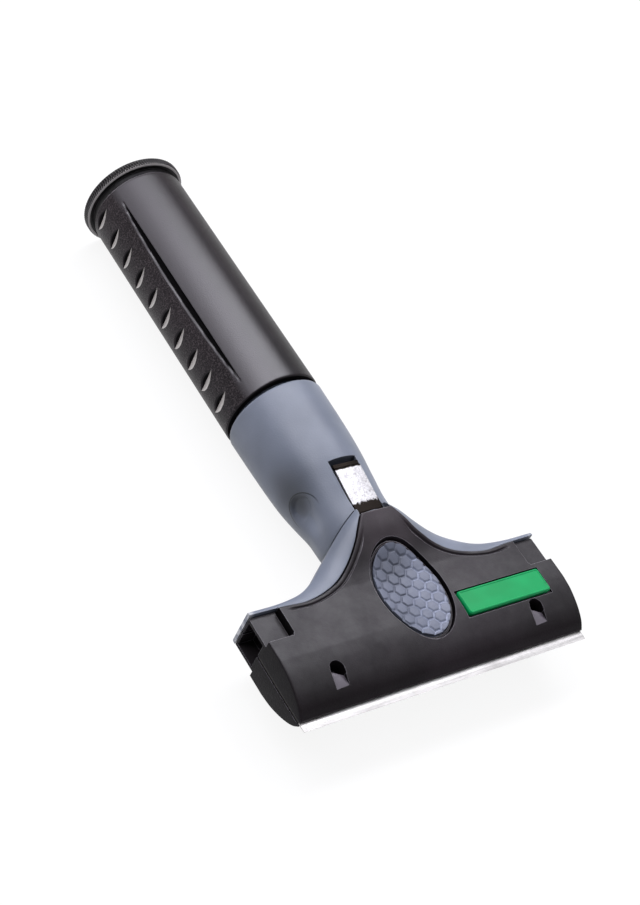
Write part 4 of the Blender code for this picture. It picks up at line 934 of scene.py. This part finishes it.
def make_badge():
    """The green plate: bare, with a wide chamfer and a shallow field inside a raised border."""
    shape = block((*BADGE_LOW, 6.9), (*BADGE_HIGH, 7.95))
    upright = [e for e in shape.edges if abs(e.verts[0].co.z - e.verts[1].co.z) > 0.9]
    bmesh.ops.bevel(shape, geom=upright, offset=0.9, affect="EDGES", segments=5, profile=0.5, material=-1)
    for thickness, depth in ((0.32, 0.45), (0.32, 0.0), (0.1, -0.15)):
        top = max(shape.faces, key=lambda f: f.calc_center_median().z * 100 + f.calc_area())
        bmesh.ops.inset_region(shape, faces=[top], thickness=thickness, depth=depth, use_even_offset=True)
    return piece("badge", shape, BADGE_ABS, "body", "badge_plastic", "badge_plate", sharp=20)


# ---- Catch leaf, clamp springs and screws ----


def leaf_slab(outline, half_width):
    """A flat outline of (y, z) from the leaf's hinge, widened, softened at its edges and laid in the neck's slot."""
    shape = raised(outline, -half_width, half_width, "X")
    edge = [e for e in shape.edges if abs(e.verts[0].co.x - e.verts[1].co.x) < 1e-6 and e.calc_length() > 0.7]
    bmesh.ops.bevel(shape, geom=edge, offset=0.12, affect="EDGES", segments=2, profile=0.5, material=-1)
    tilt = Matrix.Translation((0, 52.7, 10.8)) @ Matrix.Rotation(math.radians(9.5), 4, "X")
    bmesh.ops.transform(shape, matrix=tilt, verts=shape.verts)
    return shape


def make_leaf():
    """The bright catch leaf, and the small slide that holds its rear end."""
    nose = [(0.9 * math.cos(a), 0.9 * math.sin(a)) for a in (math.pi / 2 + math.pi * k / 16 for k in range(17))]
    steel_leaf = leaf_slab(nose + [(0.9, 0.1), (14.1, 0.1), (14.1, 0.9)], 4.5)
    piece("catch_leaf", steel_leaf, LEAF_STEEL, "leaf", "leaf_steel", "pole_leaf")
    slide = leaf_slab([(14.4, 0.1), (15.5, 0.1), (15.5, 0.75), (14.4, 0.75)], 4.4)
    piece("leaf_slide", slide, LEAF_STEEL, "leaf", "black_plastic")


def make_spring(name, x, node):
    """A three-turn compression spring of fine round wire with closed ends."""
    low, high, radius, wire = -5.9, -2.3, 2.2, 0.25
    turns, steps = 3, 108
    shape = bmesh.new()
    upright = Matrix.Translation((radius, 0, low + wire)) @ Matrix.Rotation(math.pi / 2, 4, "X")
    ring = bmesh.ops.create_circle(shape, cap_ends=True, segments=10, radius=wire, matrix=upright)
    bmesh.ops.spin(shape, geom=shape.faces[:] + shape.edges[:] + ring["verts"], cent=(0, 0, 0), axis=(0, 0, 1),
                   dvec=(0, 0, (high - low - 2 * wire) / steps), angle=math.tau * turns, steps=steps)
    bmesh.ops.remove_doubles(shape, verts=shape.verts, dist=0.0005)
    bmesh.ops.translate(shape, vec=(x, SPRING_Y, 0), verts=shape.verts)
    bmesh.ops.recalc_face_normals(shape, faces=shape.faces)
    spring = piece(name, shape, PLATED_STEEL, "body", "spring_steel", node)
    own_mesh(spring)


def make_screw(name, x, node):
    """A pan head screw with a cross recess, its thread drawn as rings."""
    low, neck, tip = -6.8, -5.4, 4.7
    profile = [(0, tip), (0.5, tip - 0.4)]
    z = tip - 1.0
    while z > neck + 0.8:
        profile += [(1.0, z), (1.2, z - 0.25), (1.0, z - 0.5)]
        z -= 0.75
    profile += [(1.0, neck), (2.4, neck), (2.4, neck - 0.7), (2.1, low + 0.15), (1.6, low), (0, low)]
    shape = turned(profile, 40, "Z")
    arm, blade, bottom = 1.25, 0.28, low + 0.8
    arms = [block((-u, -v, low - 1), (u, v, bottom)) for u, v in ((arm, blade), (blade, arm))]
    shape = combined(shape, arms)
    bmesh.ops.translate(shape, vec=(x, SCREW_Y, 0), verts=shape.verts)
    piece(name, shape, PLATED_STEEL, "body", "spring_steel", node)


make_cover_top()
make_cover_bottom()
make_handle()
make_grip()
make_ring()
make_button_shell()
make_button_pad()
make_badge()
make_leaf()
for side, sign in (("left", -1), ("right", 1)):
    make_spring(f"clamp_spring_{side}", sign * SPRING_X, f"spring_{side}")
for side, sign in (("left", -1), ("right", 1)):
    make_screw(f"cover_screw_{side}", sign * SCREW_X, f"screw_{side}")

for node, finish in (("blade", BLADE_STEEL), ("clamp_plate", PLATED_STEEL)):
    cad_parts[node].material_slots[0].material = finish


# ---- Studio ----


def seen_directly(tree):
    """1 where a ray shows the background itself, straight, in a gloss or through something clear, and 0 elsewhere."""
    rays = add(tree, "ShaderNodeLightPath").outputs
    share = rays["Is Camera Ray"]
    for ray in ("Is Glossy Ray", "Is Transmission Ray"):
        share = add(tree, "ShaderNodeMath", {0: share, 1: rays[ray]}, operation="MAXIMUM")
    return share


def set_camera(scene):
    """The camera stands where the photographer stood."""
    right = Vector((0.79653544, -0.49604561, 0.34564439))
    up = Vector((0.18354662, 0.7431197, 0.6434934))
    back = Vector((-0.57605723, -0.44912344, 0.68296867))
    camera = bpy.data.objects.new("camera", bpy.data.cameras.new("camera"))
    scene.collection.objects.link(camera)
    turn = Matrix((right, up, back)).transposed().to_4x4()
    camera.matrix_world = Matrix.Translation((-0.312823, -0.262642, 0.39501)) @ turn
    camera.data.lens = 75.58
    camera.data.sensor_width = 36.0
    scene.camera = camera


def lay_floor(scene):
    """A white paper sweep that shows white by itself and still takes the object's shadow."""
    shape = bmesh.new()
    bmesh.ops.create_grid(shape, x_segments=1, y_segments=1, size=3.0)
    mesh = bpy.data.meshes.new("floor")
    shape.to_mesh(mesh)
    shape.free()
    floor = bpy.data.objects.new("floor", mesh)
    scene.collection.objects.link(floor)
    paper, tree, own = new_finish("white paper sweep")
    share = add(tree, "ShaderNodeMath", {0: seen_directly(tree), 1: 0.82}, operation="MULTIPLY")
    # Paper fibres are far finer than this, and wouldn't show
    fibre = add(tree, "ShaderNodeTexNoise", {"Vector": own.outputs["Object"], "Scale": per_mm(6.7), "Detail": 2.0})
    tone = add(tree, "ShaderNodeMapRange", {"Value": fibre, "To Min": 0.6, "To Max": 0.64})
    matt = add(tree, "ShaderNodeBsdfDiffuse", {"Color": tone})
    glow = add(tree, "ShaderNodeEmission", {"Color": linear("#ffffff"), "Strength": 1.09})
    both = add(tree, "ShaderNodeMixShader", {0: share, 1: matt, 2: glow})
    add(tree, "ShaderNodeOutputMaterial", {"Surface": both})
    mesh.materials.append(paper)


def light_world(scene):
    """A faint cool light from all round. Seen directly it is white low down, as the floor is, and darker above."""
    world = bpy.data.worlds.new("studio")
    scene.world = world
    world.use_nodes = True
    tree = world.node_tree
    tree.nodes.clear()
    direction = add(tree, "ShaderNodeTexCoord").outputs["Generated"]
    white = rise_along(tree, direction, (0, 0, 1), 0.1, 0.4, 1.0, 0.15)
    camera_ray = add(tree, "ShaderNodeLightPath").outputs["Is Camera Ray"]
    white = add(tree, "ShaderNodeMath", {0: white, 1: camera_ray}, operation="MAXIMUM")
    soft = add(tree, "ShaderNodeBackground", {"Color": linear("#f4f6ff"), "Strength": 0.2})
    shown = add(tree, "ShaderNodeBackground", {"Color": linear("#ffffff"), "Strength": white})
    both = add(tree, "ShaderNodeMixShader", {0: seen_directly(tree), 1: soft, 2: shown})
    add(tree, "ShaderNodeOutputWorld", {"Surface": both})


def hang_lamp(scene, name, direction, width, height, power):
    """A soft box a metre away from the object's middle, turned to it."""
    data = bpy.data.lights.new(name, "AREA")
    data.shape = "RECTANGLE"
    data.size, data.size_y = width, height
    data.energy = power
    data.color = linear("#f8f8ff")[:3]
    lamp = bpy.data.objects.new(name, data)
    scene.collection.objects.link(lamp)
    aim = Vector(direction).normalized()
    lamp.location = Vector((0, 0, 0.02)) + aim
    lamp.rotation_mode = "QUATERNION"
    lamp.rotation_quaternion = aim.to_track_quat("Z", "Y")


scene = bpy.context.scene
scene.view_settings.view_transform = "Standard"
set_camera(scene)
lay_floor(scene)
light_world(scene)
hang_lamp(scene, "top softbox", (-0.08, 0.45, 0.88), 1.85, 0.3, 17.3)
hang_lamp(scene, "front fill", (0.5, 0.0, 0.86), 1.0, 0.55, 4.3)
